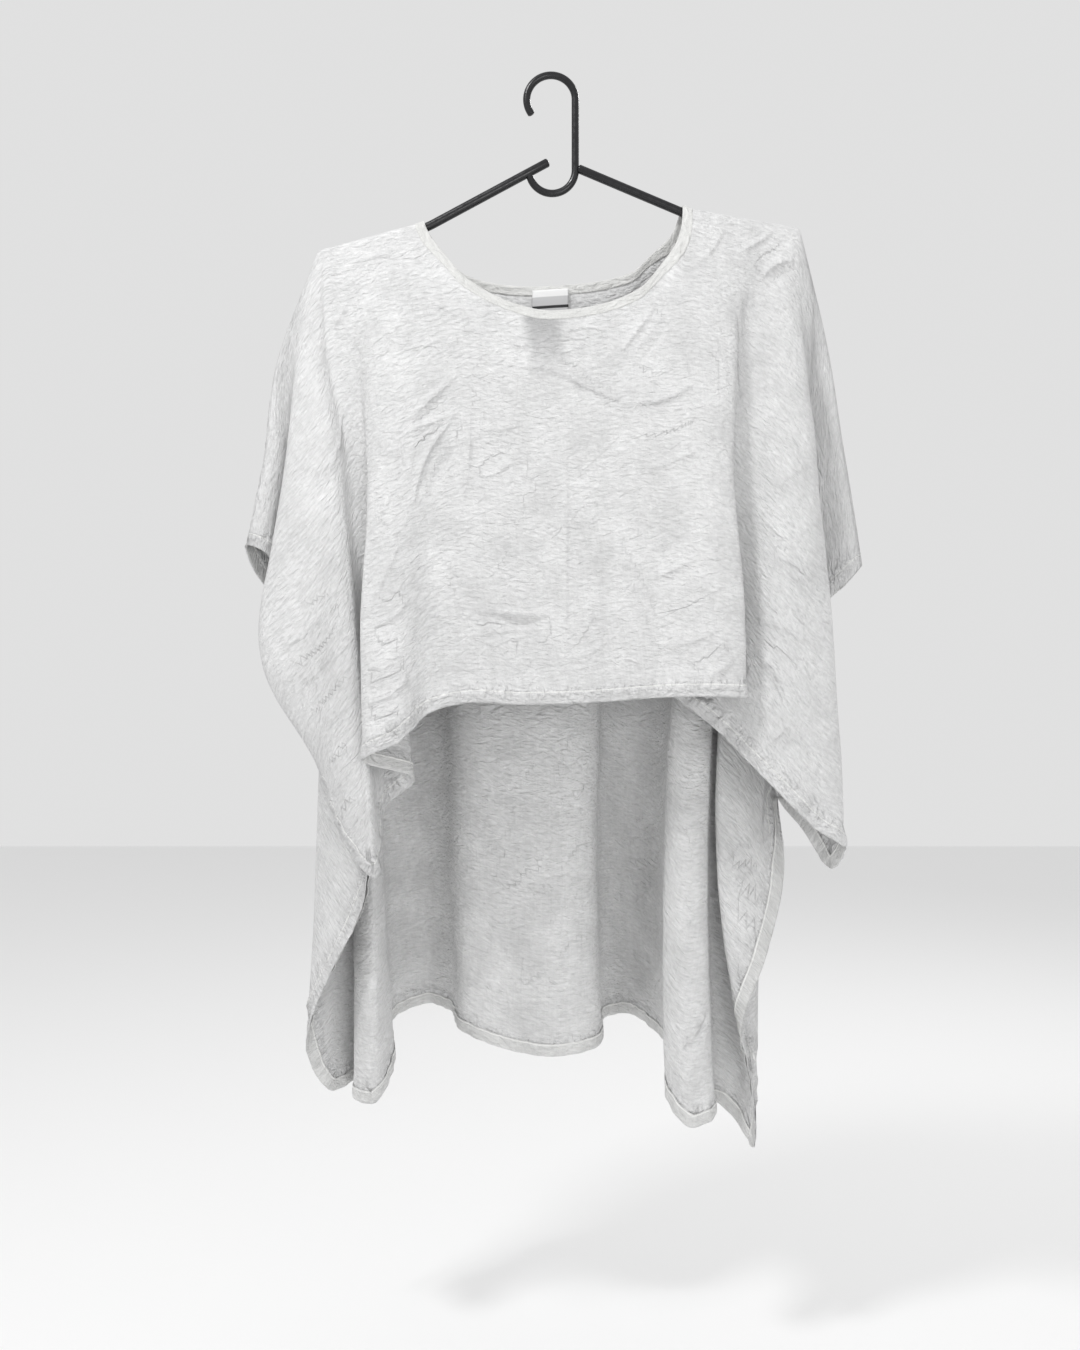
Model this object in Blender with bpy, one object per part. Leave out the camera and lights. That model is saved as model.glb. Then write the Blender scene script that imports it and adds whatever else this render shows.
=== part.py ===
"""Wide linen top hung on a slim tubular hanger, modelled in metres.

The origin is the inner top of the hanger's hook, +Z is up, +X runs to the
right of somebody facing the front, and the front faces -Y.  Each panel is one
sheet of cloth.  Its surface is spread between the fold lines of a table: every
line starts on the shoulder seam, hangs as a shallow curve and ends on the edge
of the panel.  Lengths in the tables and constants are millimetres.
"""
import math

import bmesh
import bpy
import numpy as np

MM = 0.001

# Hanger
TUBE = 3.8                 # radius of the arms
HOOK_TUBE = 3.2            # radius of hook, stem and loop
TILT = math.radians(2.7)   # the hanger hangs with its right side up
BEND = (115.0, -124.0)     # where each arm turns flatter
ARM_IN = (21.0, -79.0)     # inner end of each arm
TIP = 204.0                # end of each arm along X
SLOPE_IN = (ARM_IN[1] - BEND[1]) / (BEND[0] - ARM_IN[0])
SLOPE_OUT = math.tan(math.radians(12.4))
HOOK_R = 21.0              # bend radius of the hook
LOOP_R = 20.0              # bend radius of the loop under the hook
LOOP_Z = -79.0

# Cloth
WALL = 1.05                # wall of the panels
HEM_WALL = 2.1             # wall of a turned hem
HEM = 11.0                 # depth of the turned hems
GAP = 0.3                  # space left between pieces at a seam
WRAP = TUBE + 0.6 + WALL / 2   # bend radius of the cloth over the arm
CAP = 8.0                  # length of the seam round the end of an arm
QUARTER = WRAP * math.pi / 2

# Neck: an oval cut through both panels
NECK_MID = -3.5
NECK_HALF = 111.5
NECK = {"front": (92.0, 1.6, 2.5), "back": (62.0, 2.2, 2.9)}   # drop, roundness left and right
NECK_BLEND = 36.0          # how far the cloth keeps the arm's line inside the neck
BINDING = 8.5
BINDING_WALL = 1.6
NECK_OUT = BINDING + 2 * GAP   # from the neck edge to the edge of a panel

# Label
LABEL = (-22.0, 11.0, 3.5, 70.0)   # left, right, start and end below the neck edge
LABEL_WALL = 1.0

# Fold lines from left to right.  edge: what the line ends on.  top: where it
# leaves the shoulder seam, counted from the middle of the hanger, past TIP
# round the end of the arm.  x, y, z: its lower end.  bow_x, bow_y: how far it
# stands off a straight line at most, and late: 1 for a bow at half its length,
# more for one further down.
FRONT_FOLDS = (
    # name, edge, top, x, y, z, bow_x, bow_y, late
    ("sleeve_seam_l", "cuff", -212, -263, 0, -403, -4, 0, 1),
    ("cuff_l", "cuff", -211.6, -249, -4, -408, -3, -1, 1),
    ("cuff_b_l", "cuff", -211, -236, 8, -424, -2, 1, 1),
    ("underarm_l", "seam", -209.6, -226, 15, -485, 0, -4, 1),
    ("side_seam_l", "seam", -207.8, -217, 8, -556, -36, -21, 10),
    ("slit_top_l", "slit", -206.4, -195, 3, -613, -10, -38, 3),
    ("slit_l", "slit", -205, -175, -22, -660, 2, -29, 1),
    ("corner_l", "hem", -204, -149, -38, -686, 2, -19, 1),
    ("tongue_l", "hem", -202, -141, -4, -628, 2, -22, 1),
    ("inner_fold_l", "hem", -190, -117, -22, -606, 5, -11, 1),
    ("front_edge_l", "hem", -162, -154, -72, -584, -3, -8, 1),
    ("strip_l", "hem", -132, -121, -86, -568, -2, -11, 1),
    ("valley_l", "hem", -104, -101, -68, -547, 0, -6, 1),
    ("front_a", "hem", -76, -74, -66, -539, 0, -9, 1),
    ("front_b", "hem", -30, -26, -58, -540, 0, -11, 1),
    ("front_c", "hem", 40, 40, -56, -538, 0, -10, 1),
    ("front_d", "hem", 92, 90, -60, -534, 0, -8, 1),
    ("strip_r", "hem", 128, 133, -76, -533, 2, -10, 1),
    ("front_edge_r", "hem", 150, 158, -68, -534, 0, -10, 1),
    ("inner_fold_r", "hem", 178, 99, -26, -528, 0, -7, 1),
    ("side_a", "hem", 190, 136, -34, -559, 0, -5, 1),
    ("side_b", "hem", 200, 181, -58, -606, 3, -11, 1),
    ("side_c", "hem", 204, 219, -52, -643, 3, -14, 1),
    ("roll_r", "hem", 204.8, 247, -36, -663, 2, -10, 1),
    ("corner_r", "hem", 205.4, 240, -16, -681, 3, -9, 1),
    ("slit_r", "slit", 206.4, 217, 0, -648, 5, -9, 1),
    ("slit_top_r", "slit", 207.1, 197, 9, -622, 19, -12, 4),
    ("side_seam_r", "seam", 208.6, 203, 9, -555, 16, -6, 4),
    ("underarm_r", "seam", 210, 210, 11, -487, 0, 2, 1),
    ("cuff_b_r", "cuff", 211, 239, 4, -450, 2, -2, 1),
    ("cuff_r", "cuff", 211.6, 256, -5, -434, 4, -2, 1),
    ("sleeve_seam_r", "cuff", 212, 269, 0, -421, 3, 0, 1),
)
BACK_FOLDS = (
    # name, edge, top, x, y, z, bow_x, bow_y, late
    ("sleeve_seam_l", "cuff", -212, -263, 0, -403, -4, 0, 1),
    ("cuff_l", "cuff", -211.6, -261, 22, -424, -3, 3, 1),
    ("cuff_b_l", "cuff", -211.3, -249, 34, -442, -2, 3, 1),
    ("underarm_l", "seam", -210.5, -226, 15, -485, 0, 14, 1),
    ("side_seam_l", "seam", -209.6, -217, 8, -556, 5, 14, 3),
    ("slit_top_l", "slit", -208.8, -195, 3, -613, 0, 12, 1),
    ("slit_a_l", "slit", -207.6, -158, -6, -687, -3, 17, 1),
    ("slit_tip_l", "slit", -207.4, -159, 0, -703, -3, 19, 1),
    ("slit_b_l", "slit", -206.6, -182, 12, -756, -3, 20, 1),
    ("roll_l", "slit", -205.8, -206, 34, -804, -1, 15, 1),
    ("slit_c_l", "slit", -205.2, -218, 44, -851, 5, 18, 1),
    ("corner_l", "hem", -204.5, -199, 62, -892, 7, 17, 1),
    ("inner_l", "hem", -204, -179, 94, -890, 3, 9, 1),
    ("pleat_edge_l", "hem", -202, -175, 48, -896, 5, 14, 1),
    ("pleat_l", "hem", -198, -154, 24, -892, 5, 10, 1),
    ("pleat_side_l", "hem", -192, -143, 54, -873, 3, 9, 1),
    ("recess_a_l", "hem", -182, -144, 138, -839, 0, -3, 1),
    ("recess_b_l", "hem", -152, -120, 154, -833, 0, -3, 1),
    ("recess_c_l", "hem", -124, -96, 128, -833, 0, -4, 1),
    ("bulge_l", "hem", -90, -77, 66, -841, 0, 1, 1),
    ("bulge_a", "hem", -50, -41, 50, -851, 0, 1, 1),
    ("bulge_b", "hem", 0, 1, 46, -857, 0, -1, 1),
    ("bulge_r", "hem", 56, 39, 58, -853, -9, 1, 1),
    ("recess_a_r", "hem", 102, 53, 124, -839, -26, -2, 1),
    ("recess_b_r", "hem", 126, 79, 152, -843, -24, -2, 1),
    ("recess_c_r", "hem", 144, 100, 118, -852, -24, 1, 1),
    ("pleat_side_r", "hem", 157, 109, 50, -865, -26, 7, 1),
    ("pleat_a_r", "hem", 164, 102, 14, -887, -26, 5, 1),
    ("pleat_b_r", "hem", 172, 120, -2, -906, -24, 3, 1),
    ("pleat_edge_r", "hem", 180, 139, 8, -904, -21, 2, 1),
    ("inner_r", "hem", 192, 149, 50, -899, -22, 7, 1),
    ("flap_back_r", "hem", 200, 168, 50, -917, 2, 13, 1),
    ("corner_r", "hem", 204, 178, 26, -932, 0, 15, 1),
    ("flap_fold_r", "slit", 204.9, 175, 22, -872, -19, 16, 2),
    ("flap_front_r", "slit", 205.5, 167, 14, -829, -37, 12, 3),
    ("slit_b_r", "slit", 206.6, 189, 8, -755, -24, 12, 3),
    ("slit_a_r", "slit", 207.7, 203, 7, -683, -21, 12, 4),
    ("slit_top_r", "slit", 208.6, 197, 9, -622, -14, 12, 4),
    ("side_seam_r", "seam", 209.5, 203, 9, -555, -9, 14, 4),
    ("underarm_r", "seam", 210.5, 210, 11, -487, 0, 14, 1),
    ("cuff_b_r", "cuff", 211.2, 240, 30, -454, 3, 3, 1),
    ("cuff_r", "cuff", 211.7, 261, 18, -434, 5, 1, 1),
    ("sleeve_seam_r", "cuff", 212, 269, 0, -421, 3, 0, 1),
)

# Below each tip the cloth first hangs as a plain cone, and the folds set in
CONE = (104.0, 72.0, 30.0)   # spread of that cone at the lower edge: left, right, front and back
ONSET = (40.0, 190.0)      # where the folds start and are full

# The front stays in front of this surface and the back behind it.  On each side
# it lies at y, and reaches zero where the sleeve seam is, a distance out from
# the middle.
PARTING = (
    # z, left out, left y, right out, right y
    (-150, 203, 0, 218, 0),
    (-200, 211, 0, 226, 0),
    (-260, 225, 4, 239, 4),
    (-320, 244, 8, 253, 9),
    (-400, 263, 12, 266, 12),
    (-425, 285, 13, 285, 12),
    (-485, 330, 15, 330, 11),
    (-555, 330, 8, 330, 9),
    (-612, 330, 3, 330, 9),
    (-645, 330, -8, 330, 3),
    (-690, 330, -24, 330, -6),
    (-760, 330, -30, 330, -12),
)

# Grids: width of a column at the lower edge, and rows down the cloth
COLUMN = {"front": 13.0, "back": 17.0}
ROWS = {"front": 8, "back": 10}
HEAD = (0.0, 0.6, 2.8, 5.3, 7.8)                # rows over the arm
OVAL = 18                                       # columns along the rest of the neck

COLOURS = {
    "linen": (0.83, 0.83, 0.82, 1.0),
    "binding": (0.85, 0.85, 0.84, 1.0),
    "label": (0.80, 0.80, 0.80, 1.0),
    "hanger": (0.012, 0.012, 0.014, 1.0),
}


def smooth(x):
    """Soft step from 0 to 1."""
    x = np.clip(x, 0, 1)
    return x * x * (3 - 2 * x)


def tilt(x, z):
    """Turn points of the level hanger about the hook."""
    return x * math.cos(TILT) - z * math.sin(TILT), z * math.cos(TILT) + x * math.sin(TILT)


def arm_axis(a):
    """Height of an arm's axis at a distance a from the middle."""
    return np.where(a < BEND[0], BEND[1] + (BEND[0] - a) * SLOPE_IN,
                    BEND[1] - (a - BEND[0]) * SLOPE_OUT)


def rise(a):
    """Height of the bent cloth over an arm's axis, which slopes."""
    inner, outer = math.hypot(1, SLOPE_IN), math.hypot(1, SLOPE_OUT)
    return WRAP * (inner + (outer - inner) * smooth((a - BEND[0] + 4) / 12))


def seam_points(s):
    """Shoulder seam: over the arms, straight across the neck, round the tips."""
    s = np.asarray(s, float)
    a = np.abs(s)
    left, right = NECK_MID - NECK_HALF, NECK_MID + NECK_HALF
    z_left, z_right = (arm_axis(abs(e)) + rise(abs(e)) for e in (left, right))
    neck = z_left + (s - left) / (right - left) * (z_right - z_left)
    over = arm_axis(np.minimum(a, TIP)) + rise(a)
    inside = np.minimum(s - left, right - s)
    neck = neck + (over - neck) * smooth(1 - inside / NECK_BLEND)
    turn = np.clip((a - TIP) / CAP, 0, 1) * math.pi / 2
    z = np.where((s > left) & (s < right), neck, over) - WRAP * (1 - np.cos(turn))
    x = np.sign(s) * (np.minimum(a, TIP) + WRAP * np.sin(turn))
    x, z = tilt(x, z)
    return np.stack([x, np.zeros_like(x), z], -1), turn


def parting(x, z):
    """Depth of the surface between the panels, which their seams lie on."""
    table = np.array(PARTING, float)[::-1]
    left = [np.interp(z, table[:, 0], table[:, i]) for i in (1, 2)]
    right = [np.interp(z, table[:, 0], table[:, i]) for i in (3, 4)]
    out, y = np.where(x < 0, left, right)
    return y * smooth((out - np.abs(x)) / 28)


def oval(side, grow):
    """Flat neck edge of a side from left to right, close together at the arms."""
    drop, left, right = NECK[side]
    low, high = (np.arcsin((np.array(HEAD) / (drop + NECK_OUT)) ** (p / 2)) for p in (left, right))
    turn = np.linspace(low[-1], math.pi - high[-1], OVAL + 1)[1:-1]
    turn = np.concatenate([low, turn, math.pi - high[::-1]])
    c, s = np.cos(turn), np.sin(turn)
    power = np.where(c > 0, left, right)
    u = NECK_MID - (NECK_HALF + grow) * np.sign(c) * np.abs(c) ** (2 / power)
    return u, np.where(s < 1e-9, 0.0, (drop + grow) * np.abs(s) ** (2 / power))


class Ring:
    """Both panels as one closed ring of fold lines, so the sides run smoothly."""

    def __init__(self):
        rows = list(FRONT_FOLDS) + list(BACK_FOLDS[-2:0:-1])
        self.edges = [r[1] for r in rows]
        self.s = np.array([r[2] for r in rows], float)
        self.end = np.array([r[3:6] for r in rows], float)
        self.bow = np.array([[r[6], r[7], 0.0] for r in rows], float)
        self.late = np.array([r[8] for r in rows], float)
        self.top, self.turn = seam_points(self.s)
        step = np.linalg.norm(np.roll(self.end, -1, 0) - self.end, axis=1)
        self.step = np.maximum(step, 4.0)
        self.knot = np.concatenate([[0.0], np.cumsum(self.step)])
        self.n = len(rows)
        self.corner = len(FRONT_FOLDS) - 1

    def blend(self, q):
        """Weights of every fold line at the ring positions q (a smooth spline)."""
        n, h, k = self.n, self.step, self.knot
        slope = np.zeros((n, n))
        for i in range(n):
            a, b = h[i - 1], h[i]
            slope[i, (i + 1) % n] += a / b / (a + b)
            slope[i, i] += (b / a - a / b) / (a + b)
            slope[i, i - 1] -= b / a / (a + b)
        q = np.clip(q, 0, k[-1] - 1e-9)
        i = np.clip(np.searchsorted(k, q, side="right") - 1, 0, n - 1)
        t = (q - k[i]) / h[i]
        j = (i + 1) % n
        eye = np.eye(n)
        return ((2 * t**3 - 3 * t**2 + 1)[:, None] * eye[i]
                + (t**3 - 2 * t**2 + t)[:, None] * h[i][:, None] * slope[i]
                + (3 * t**2 - 2 * t**3)[:, None] * eye[j]
                + (t**3 - t**2)[:, None] * h[i][:, None] * slope[j])

    def seam_at(self, q):
        """Where the lines at q leave the seam: never turning back between two rows."""
        h, rise = self.step, (np.roll(self.s, -1) - self.s) / self.step
        before = np.roll(rise, 1)
        same = before * rise > 0
        slope = np.where(same, 2 * before * rise / np.where(same, before + rise, 1.0), 0.0)
        i = np.clip(np.searchsorted(self.knot, q, side="right") - 1, 0, self.n - 1)
        t, j = (q - self.knot[i]) / h[i], (i + 1) % self.n
        return ((2 * t**3 - 3 * t**2 + 1) * self.s[i] + (t**3 - 2 * t**2 + t) * h[i] * slope[i]
                + (3 * t**2 - 2 * t**3) * self.s[j] + (t**3 - t**2) * h[i] * slope[j])


RING = Ring()


class Panel:
    """One panel of the ring, with its neck cut out."""

    def __init__(self, side):
        self.side = side
        self.sign = -1.0 if side == "front" else 1.0
        if side == "front":
            self.span = (0.0, RING.knot[RING.corner])
        else:
            self.span = (RING.knot[RING.corner], RING.knot[-1])

    def columns(self):
        """Ring positions of the columns, close together at seams and neck corners."""
        lo, hi = self.span
        k = RING.knot[(RING.knot > lo - 1e-6) & (RING.knot < hi + 1e-6)]
        q = [np.linspace(a, b, max(2, round((b - a) / COLUMN[self.side])), endpoint=False)
             for a, b in zip(k[:-1], k[1:])]
        q = np.concatenate(q + [[hi]])
        neck = self.at(oval(self.side, NECK_OUT)[0])
        q = q[(q < neck.min() - 4) | (q > neck.max() + 4)]
        return np.sort(np.concatenate([q, neck]))

    def snapped(self, q):
        """Ring positions with those beside a neck corner moved onto it."""
        u = oval(self.side, NECK_OUT)[0]
        near, corner = self.at(u[:len(HEAD)]), self.at(u[-len(HEAD):])
        out = np.where((q > near.min() - 1e-6) & (q < near.max() + 1e-6), self.at(u[0]), q)
        return np.where((q > corner.min() - 1e-6) & (q < corner.max() + 1e-6), self.at(u[-1]), out)

    def lines(self, q):
        """Every figure of the lines at q, blended from the fold table."""
        w = RING.blend(q)
        s = RING.seam_at(q)
        seam, turn = seam_points(np.clip(s, -TIP - CAP, TIP + CAP))
        end, bow, late = w @ RING.end, w @ RING.bow, np.maximum(w @ RING.late, 1.0)
        length = np.linalg.norm(end - seam, axis=-1)
        near = smooth((np.abs(s) - TIP + 24) / 24)[:, None]
        out = np.where(s < 0, -CONE[0], CONE[1]) * np.sin(turn)
        cone = np.stack([seam[:, 0] + out, self.sign * CONE[2] * np.cos(turn), end[:, 2]], -1)
        return {"seam": seam, "end": end, "bow": bow, "late": late, "turn": turn,
                "length": length, "s": s, "cone": (cone - end) * near, "near": near}

    def points(self, q, v, lines=None):
        """Points of the cloth at ring positions q, a distance v below the seam."""
        f = lines or self.lines(q)
        t = (v / f["length"])[:, None]
        late = f["late"][:, None]
        top = late / (late + 1) * (1 / (late + 1)) ** (1 / late)
        lift = t * (1 - np.abs(t) ** late) / top
        wait = 1 - smooth((v - ONSET[0]) / (ONSET[1] - ONSET[0]))[..., None]
        p = f["seam"] * (1 - t) + f["end"] * t + lift * f["bow"] * (1 - wait * f["near"])
        p += t * wait * f["cone"]
        angle = np.minimum(v, QUARTER) / WRAP
        fade = np.cos(f["turn"]) * (1 - np.clip(t[:, 0], 0, 1) ** 2)
        p[:, 1] += self.sign * WRAP * np.sin(angle) * fade
        p[:, 2] += (np.minimum(v, QUARTER) - rise(np.abs(f["s"])) * (1 - np.cos(angle))) * fade
        return p

    def start(self, s, grow):
        """Distance below the seam where the cloth starts: the neck, or zero."""
        drop, left, right = NECK[self.side]
        power = np.where(s < NECK_MID, left, right)
        a = np.clip(np.abs(s - NECK_MID) / (NECK_HALF + grow), 0, 1)
        return (drop + grow) * (1 - a**power) ** (1 / power)

    def at(self, s):
        """Ring position whose line leaves the seam at s."""
        q = np.linspace(*self.span, 4001)
        along = RING.seam_at(q)
        keep = np.abs(along) < TIP - 10
        order = np.argsort(along[keep])
        return np.interp(s, along[keep][order], q[keep][order])

    def grid(self):
        """Middle surface as rows x columns of points, and its hem weights."""
        q = self.columns()
        f, snap = self.lines(q), self.lines(self.snapped(q))
        length = snap["length"]
        v0 = self.start(f["s"], NECK_OUT)
        v0 = np.where(v0 < 1e-3, 0.0, v0)
        head = np.maximum(v0, np.array(HEAD)[:, None])
        tail = np.array([HEM + 0.8, HEM, 0.0])
        body = np.linspace(0, 1, ROWS[self.side] + 1)[1:-1, None] ** 1.3
        base = np.maximum(self.start(snap["s"], NECK_OUT), HEAD[-1])
        v = np.concatenate([head, base + body * (length - tail[0] - base),
                            length - tail[:, None]])
        p = np.stack([self.points(q, row, f if i < len(HEAD) else snap) for i, row in enumerate(v)])
        weight = np.zeros(p.shape[:2])
        away = np.minimum(q - self.span[0], self.span[1] - q)
        weight[-2:] = (1.0 - self.seamed(q, 12.0)) * smooth(away / 16)
        room = (WALL + GAP) / 2 * smooth(away / 16) * smooth(v / 12)
        part = parting(p[..., 0], p[..., 2])
        off = self.sign * (p[..., 1] - part) - room
        p[..., 1] = part + self.sign * (GAP / 2 + room + (off + np.sqrt(off * off + 4 * room * room)) / 2)
        run = p[-1] - p[-3]
        edge = np.gradient(p[-1], axis=0)
        square = np.linalg.norm(np.cross(run, edge), axis=1)
        square /= np.maximum(np.linalg.norm(run, axis=1) * np.linalg.norm(edge, axis=1), 1e-6)
        weight[-2:] *= smooth((square - 0.1) / 0.4)
        return p, weight

    def seamed(self, q, reach):
        """One where the lower edge is a side seam."""
        out = np.zeros_like(q)
        k = RING.knot
        for i in range(RING.n):
            a, b = RING.edges[i], RING.edges[(i + 1) % RING.n]
            if "seam" in (a, b) and "cuff" not in (a, b):
                d = np.maximum(k[i] - q, q - k[i + 1])
                out = np.maximum(out, np.clip(1 - d / max(reach, 1e-3), 0, 1))
        return out


def new_object(name, verts, faces, material):
    """Object in metres from points in millimetres."""
    mesh = bpy.data.meshes.new(name)
    mesh.from_pydata([tuple(float(c) for c in v) for v in np.asarray(verts) * MM], [], faces)
    mesh.update()
    obj = bpy.data.objects.new(name, mesh)
    bpy.context.scene.collection.objects.link(obj)
    obj.data.materials.append(material)
    return obj


def grid_faces(rows, columns, closed=False):
    """Quads of a grid, its last column joined to the first when closed."""
    wide = columns if closed else columns - 1
    return [(r * columns + c, r * columns + (c + 1) % columns,
             (r + 1) * columns + (c + 1) % columns, (r + 1) * columns + c)
            for r in range(rows - 1) for c in range(wide)]


def apply_modifiers(obj):
    """Swap the object's mesh for its evaluated one, faces turned outwards."""
    deps = bpy.context.evaluated_depsgraph_get()
    mesh = bpy.data.meshes.new_from_object(obj.evaluated_get(deps))
    obj.modifiers.clear()
    obj.data = mesh
    bm = bmesh.new()
    bm.from_mesh(mesh)
    bmesh.ops.recalc_face_normals(bm, faces=bm.faces)
    if bm.calc_volume(signed=True) < 0:
        bmesh.ops.reverse_faces(bm, faces=bm.faces)
    bm.to_mesh(mesh)
    bm.free()
    return obj


def thicken(obj, wall, weights=None, thin=1.0):
    """Give a sheet its wall, both ways from the middle surface."""
    mod = obj.modifiers.new("wall", "SOLIDIFY")
    mod.thickness = wall * MM
    mod.offset = 0.0
    mod.use_even_offset = False
    mod.use_quality_normals = True
    if weights is not None:
        group = obj.vertex_groups.new(name="hem")
        for i, w in enumerate(weights):
            group.add([i], float(w), "REPLACE")
        mod.vertex_group = "hem"
        mod.thickness_vertex_group = thin
    apply_modifiers(obj)
    obj.vertex_groups.clear()
    return obj


def make_panel(side, material):
    """A front or back panel as one walled sheet, its repeated points joined."""
    p, weight = Panel(side).grid()
    flat = np.round(p.reshape(-1, 3), 5)
    _, first, where = np.unique(flat, axis=0, return_index=True, return_inverse=True)
    where = where.ravel()
    faces = []
    for face in grid_faces(*p.shape[:2]):
        ring = list(dict.fromkeys(int(where[i]) for i in face))
        if len(ring) > 2:
            faces.append(tuple(ring))
    obj = new_object(f"{side}_panel", p.reshape(-1, 3)[first], faces, material)
    thicken(obj, HEM_WALL, weight.ravel()[first], WALL / HEM_WALL)
    sign = Panel(side).sign
    for vert in obj.data.vertices:
        x, y, z = (c / MM for c in vert.co)
        part = float(parting(x, z))
        vert.co.y = MM * (part + sign * max(sign * (y - part), GAP / 2))
    return obj


def make_binding(material):
    """Folded strip round the whole neck edge, as one closed band."""
    band = []
    for grow in (0.0, BINDING / 2, BINDING):
        row = []
        for side in ("front", "back"):
            u, v = oval(side, grow)
            p = Panel(side).points(Panel(side).at(u), v)
            row.append(p[:-1] if side == "front" else p[:0:-1])
        band.append(np.concatenate(row))
    p = np.stack(band)
    obj = new_object("neck_binding", p.reshape(-1, 3), grid_faces(*p.shape[:2], closed=True), material)
    return thicken(obj, BINDING_WALL)


def make_label(material):
    """Bare label inside the back neck, 0.3 mm off the cloth."""
    panel = Panel("back")
    left, right, start, end = LABEL
    u = np.linspace(left, right, 5)
    q = panel.at(u)
    edge = panel.start(u, 0.0).max()
    p = np.stack([panel.points(q, np.full_like(u, edge + v)) for v in np.linspace(start, end, 7)])
    p[..., 1] -= BINDING_WALL / 2 + GAP + LABEL_WALL / 2
    obj = new_object("neck_label", p.reshape(-1, 3), grid_faces(*p.shape[:2]), material)
    return thicken(obj, LABEL_WALL)


def sweep(path, radius, sides=12):
    """Vertices and faces of a round bar along a path in the X-Z plane."""
    path = np.asarray(path, float)
    run = np.gradient(path, axis=0)
    run /= np.linalg.norm(run, axis=1)[:, None]
    across = np.stack([-run[:, 1], run[:, 0]], 1)
    a = np.arange(sides) * 2 * math.pi / sides
    ring = (np.concatenate([path[:, None, :1] + radius * np.cos(a)[None, :, None] * across[:, None, :1],
                            np.broadcast_to(radius * np.sin(a)[None, :, None], (len(path), sides, 1)),
                            path[:, None, 1:] + radius * np.cos(a)[None, :, None] * across[:, None, 1:]], 2))
    faces = grid_faces(len(path), sides, closed=True)
    faces += [tuple(range(sides)), tuple(range((len(path) - 1) * sides, len(path) * sides))[::-1]]
    return ring.reshape(-1, 3), faces


def arm_path(side, inner):
    """Axis of one arm from its inner end over the bend to the tip."""
    path = np.array([inner, BEND, (TIP, float(arm_axis(TIP)))], float)
    path[:, 0] *= side
    return np.stack(tilt(path[:, 0], path[:, 1]), 1)


def hook_path():
    """Axis of hook, stem and loop, from the open end of the hook."""
    crown = -HOOK_R + HOOK_TUBE
    bend = np.radians(np.linspace(215, 0, 16))
    hook = np.stack([HOOK_R * np.cos(bend), crown + HOOK_R * np.sin(bend)], 1)
    under = np.radians(np.linspace(0, -176, 14))
    loop = np.stack([LOOP_R * np.cos(under) + (HOOK_R - LOOP_R), LOOP_Z + LOOP_R * np.sin(under)], 1)
    return np.concatenate([hook, loop])


def make_hanger(material):
    """Hanger as one moulded piece: two arms, loop, stem and hook."""
    inner = np.array(ARM_IN)
    reach = inner + np.array([-14.0, 14.0 * SLOPE_IN])
    parts = [(arm_path(-1, reach), TUBE), (arm_path(1, inner), TUBE), (hook_path(), HOOK_TUBE)]
    objs = []
    for i, (path, radius) in enumerate(parts):
        verts, faces = sweep(path, radius)
        obj = new_object("hanger" if i == 0 else f"hanger_cut_{i}", verts, faces, material)
        apply_modifiers(obj)
        objs.append(obj)
    body = objs[0]
    for other in objs[1:]:
        mod = body.modifiers.new("join", "BOOLEAN")
        mod.operation = "UNION"
        mod.solver = "EXACT"
        mod.object = other
        apply_modifiers(body)
    for other in objs[1:]:
        bpy.data.objects.remove(other, do_unlink=True)
    return body


def make_material(name, roughness):
    """One Principled material in the piece's colour."""
    mat = bpy.data.materials.new(name)
    mat.use_nodes = True
    shader = mat.node_tree.nodes["Principled BSDF"]
    shader.inputs["Base Color"].default_value = COLOURS[name.split("-")[0]]
    shader.inputs["Roughness"].default_value = roughness
    mat.diffuse_color = COLOURS[name.split("-")[0]]
    return mat


def main():
    """Build every piece."""
    for obj in list(bpy.data.objects):
        bpy.data.objects.remove(obj, do_unlink=True)
    pieces = [
        make_panel("front", make_material("linen-front", 0.9)),
        make_panel("back", make_material("linen-back", 0.9)),
        make_binding(make_material("binding", 0.9)),
        make_label(make_material("label", 0.8)),
    ]
    pieces.append(make_hanger(make_material("hanger", 0.35)))
    for obj in pieces:
        for poly in obj.data.polygons:
            poly.use_smooth = True


main()
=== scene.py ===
"""Looks of the wide linen top on its slim hanger.

The cloth is laid out again on the form of the solids, finer, with its turned
hems, stitching and creases.  Tables are in millimetres, meshes in
metres, +Z up and the front towards -Y.
"""
import logging
import math
from dataclasses import dataclass, field
from enum import Enum
from typing import Any

import bmesh
import bpy
import numpy as np
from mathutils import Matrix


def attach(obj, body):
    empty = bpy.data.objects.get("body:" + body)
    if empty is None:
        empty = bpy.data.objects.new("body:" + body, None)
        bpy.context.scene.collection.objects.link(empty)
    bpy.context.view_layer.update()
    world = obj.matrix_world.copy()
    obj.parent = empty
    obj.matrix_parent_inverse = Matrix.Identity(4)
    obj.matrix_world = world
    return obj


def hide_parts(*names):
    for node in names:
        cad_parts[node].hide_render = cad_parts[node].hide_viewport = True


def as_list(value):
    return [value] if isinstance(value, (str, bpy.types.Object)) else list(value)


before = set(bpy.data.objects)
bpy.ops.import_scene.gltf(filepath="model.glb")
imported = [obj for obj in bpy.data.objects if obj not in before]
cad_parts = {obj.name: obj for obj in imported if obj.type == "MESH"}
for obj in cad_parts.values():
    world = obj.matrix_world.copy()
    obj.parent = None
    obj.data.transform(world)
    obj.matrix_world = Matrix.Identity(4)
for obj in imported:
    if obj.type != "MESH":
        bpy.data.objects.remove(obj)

LOG = logging.getLogger("linen_top")
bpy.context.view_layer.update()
MM = 0.001
Array = np.ndarray

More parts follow.
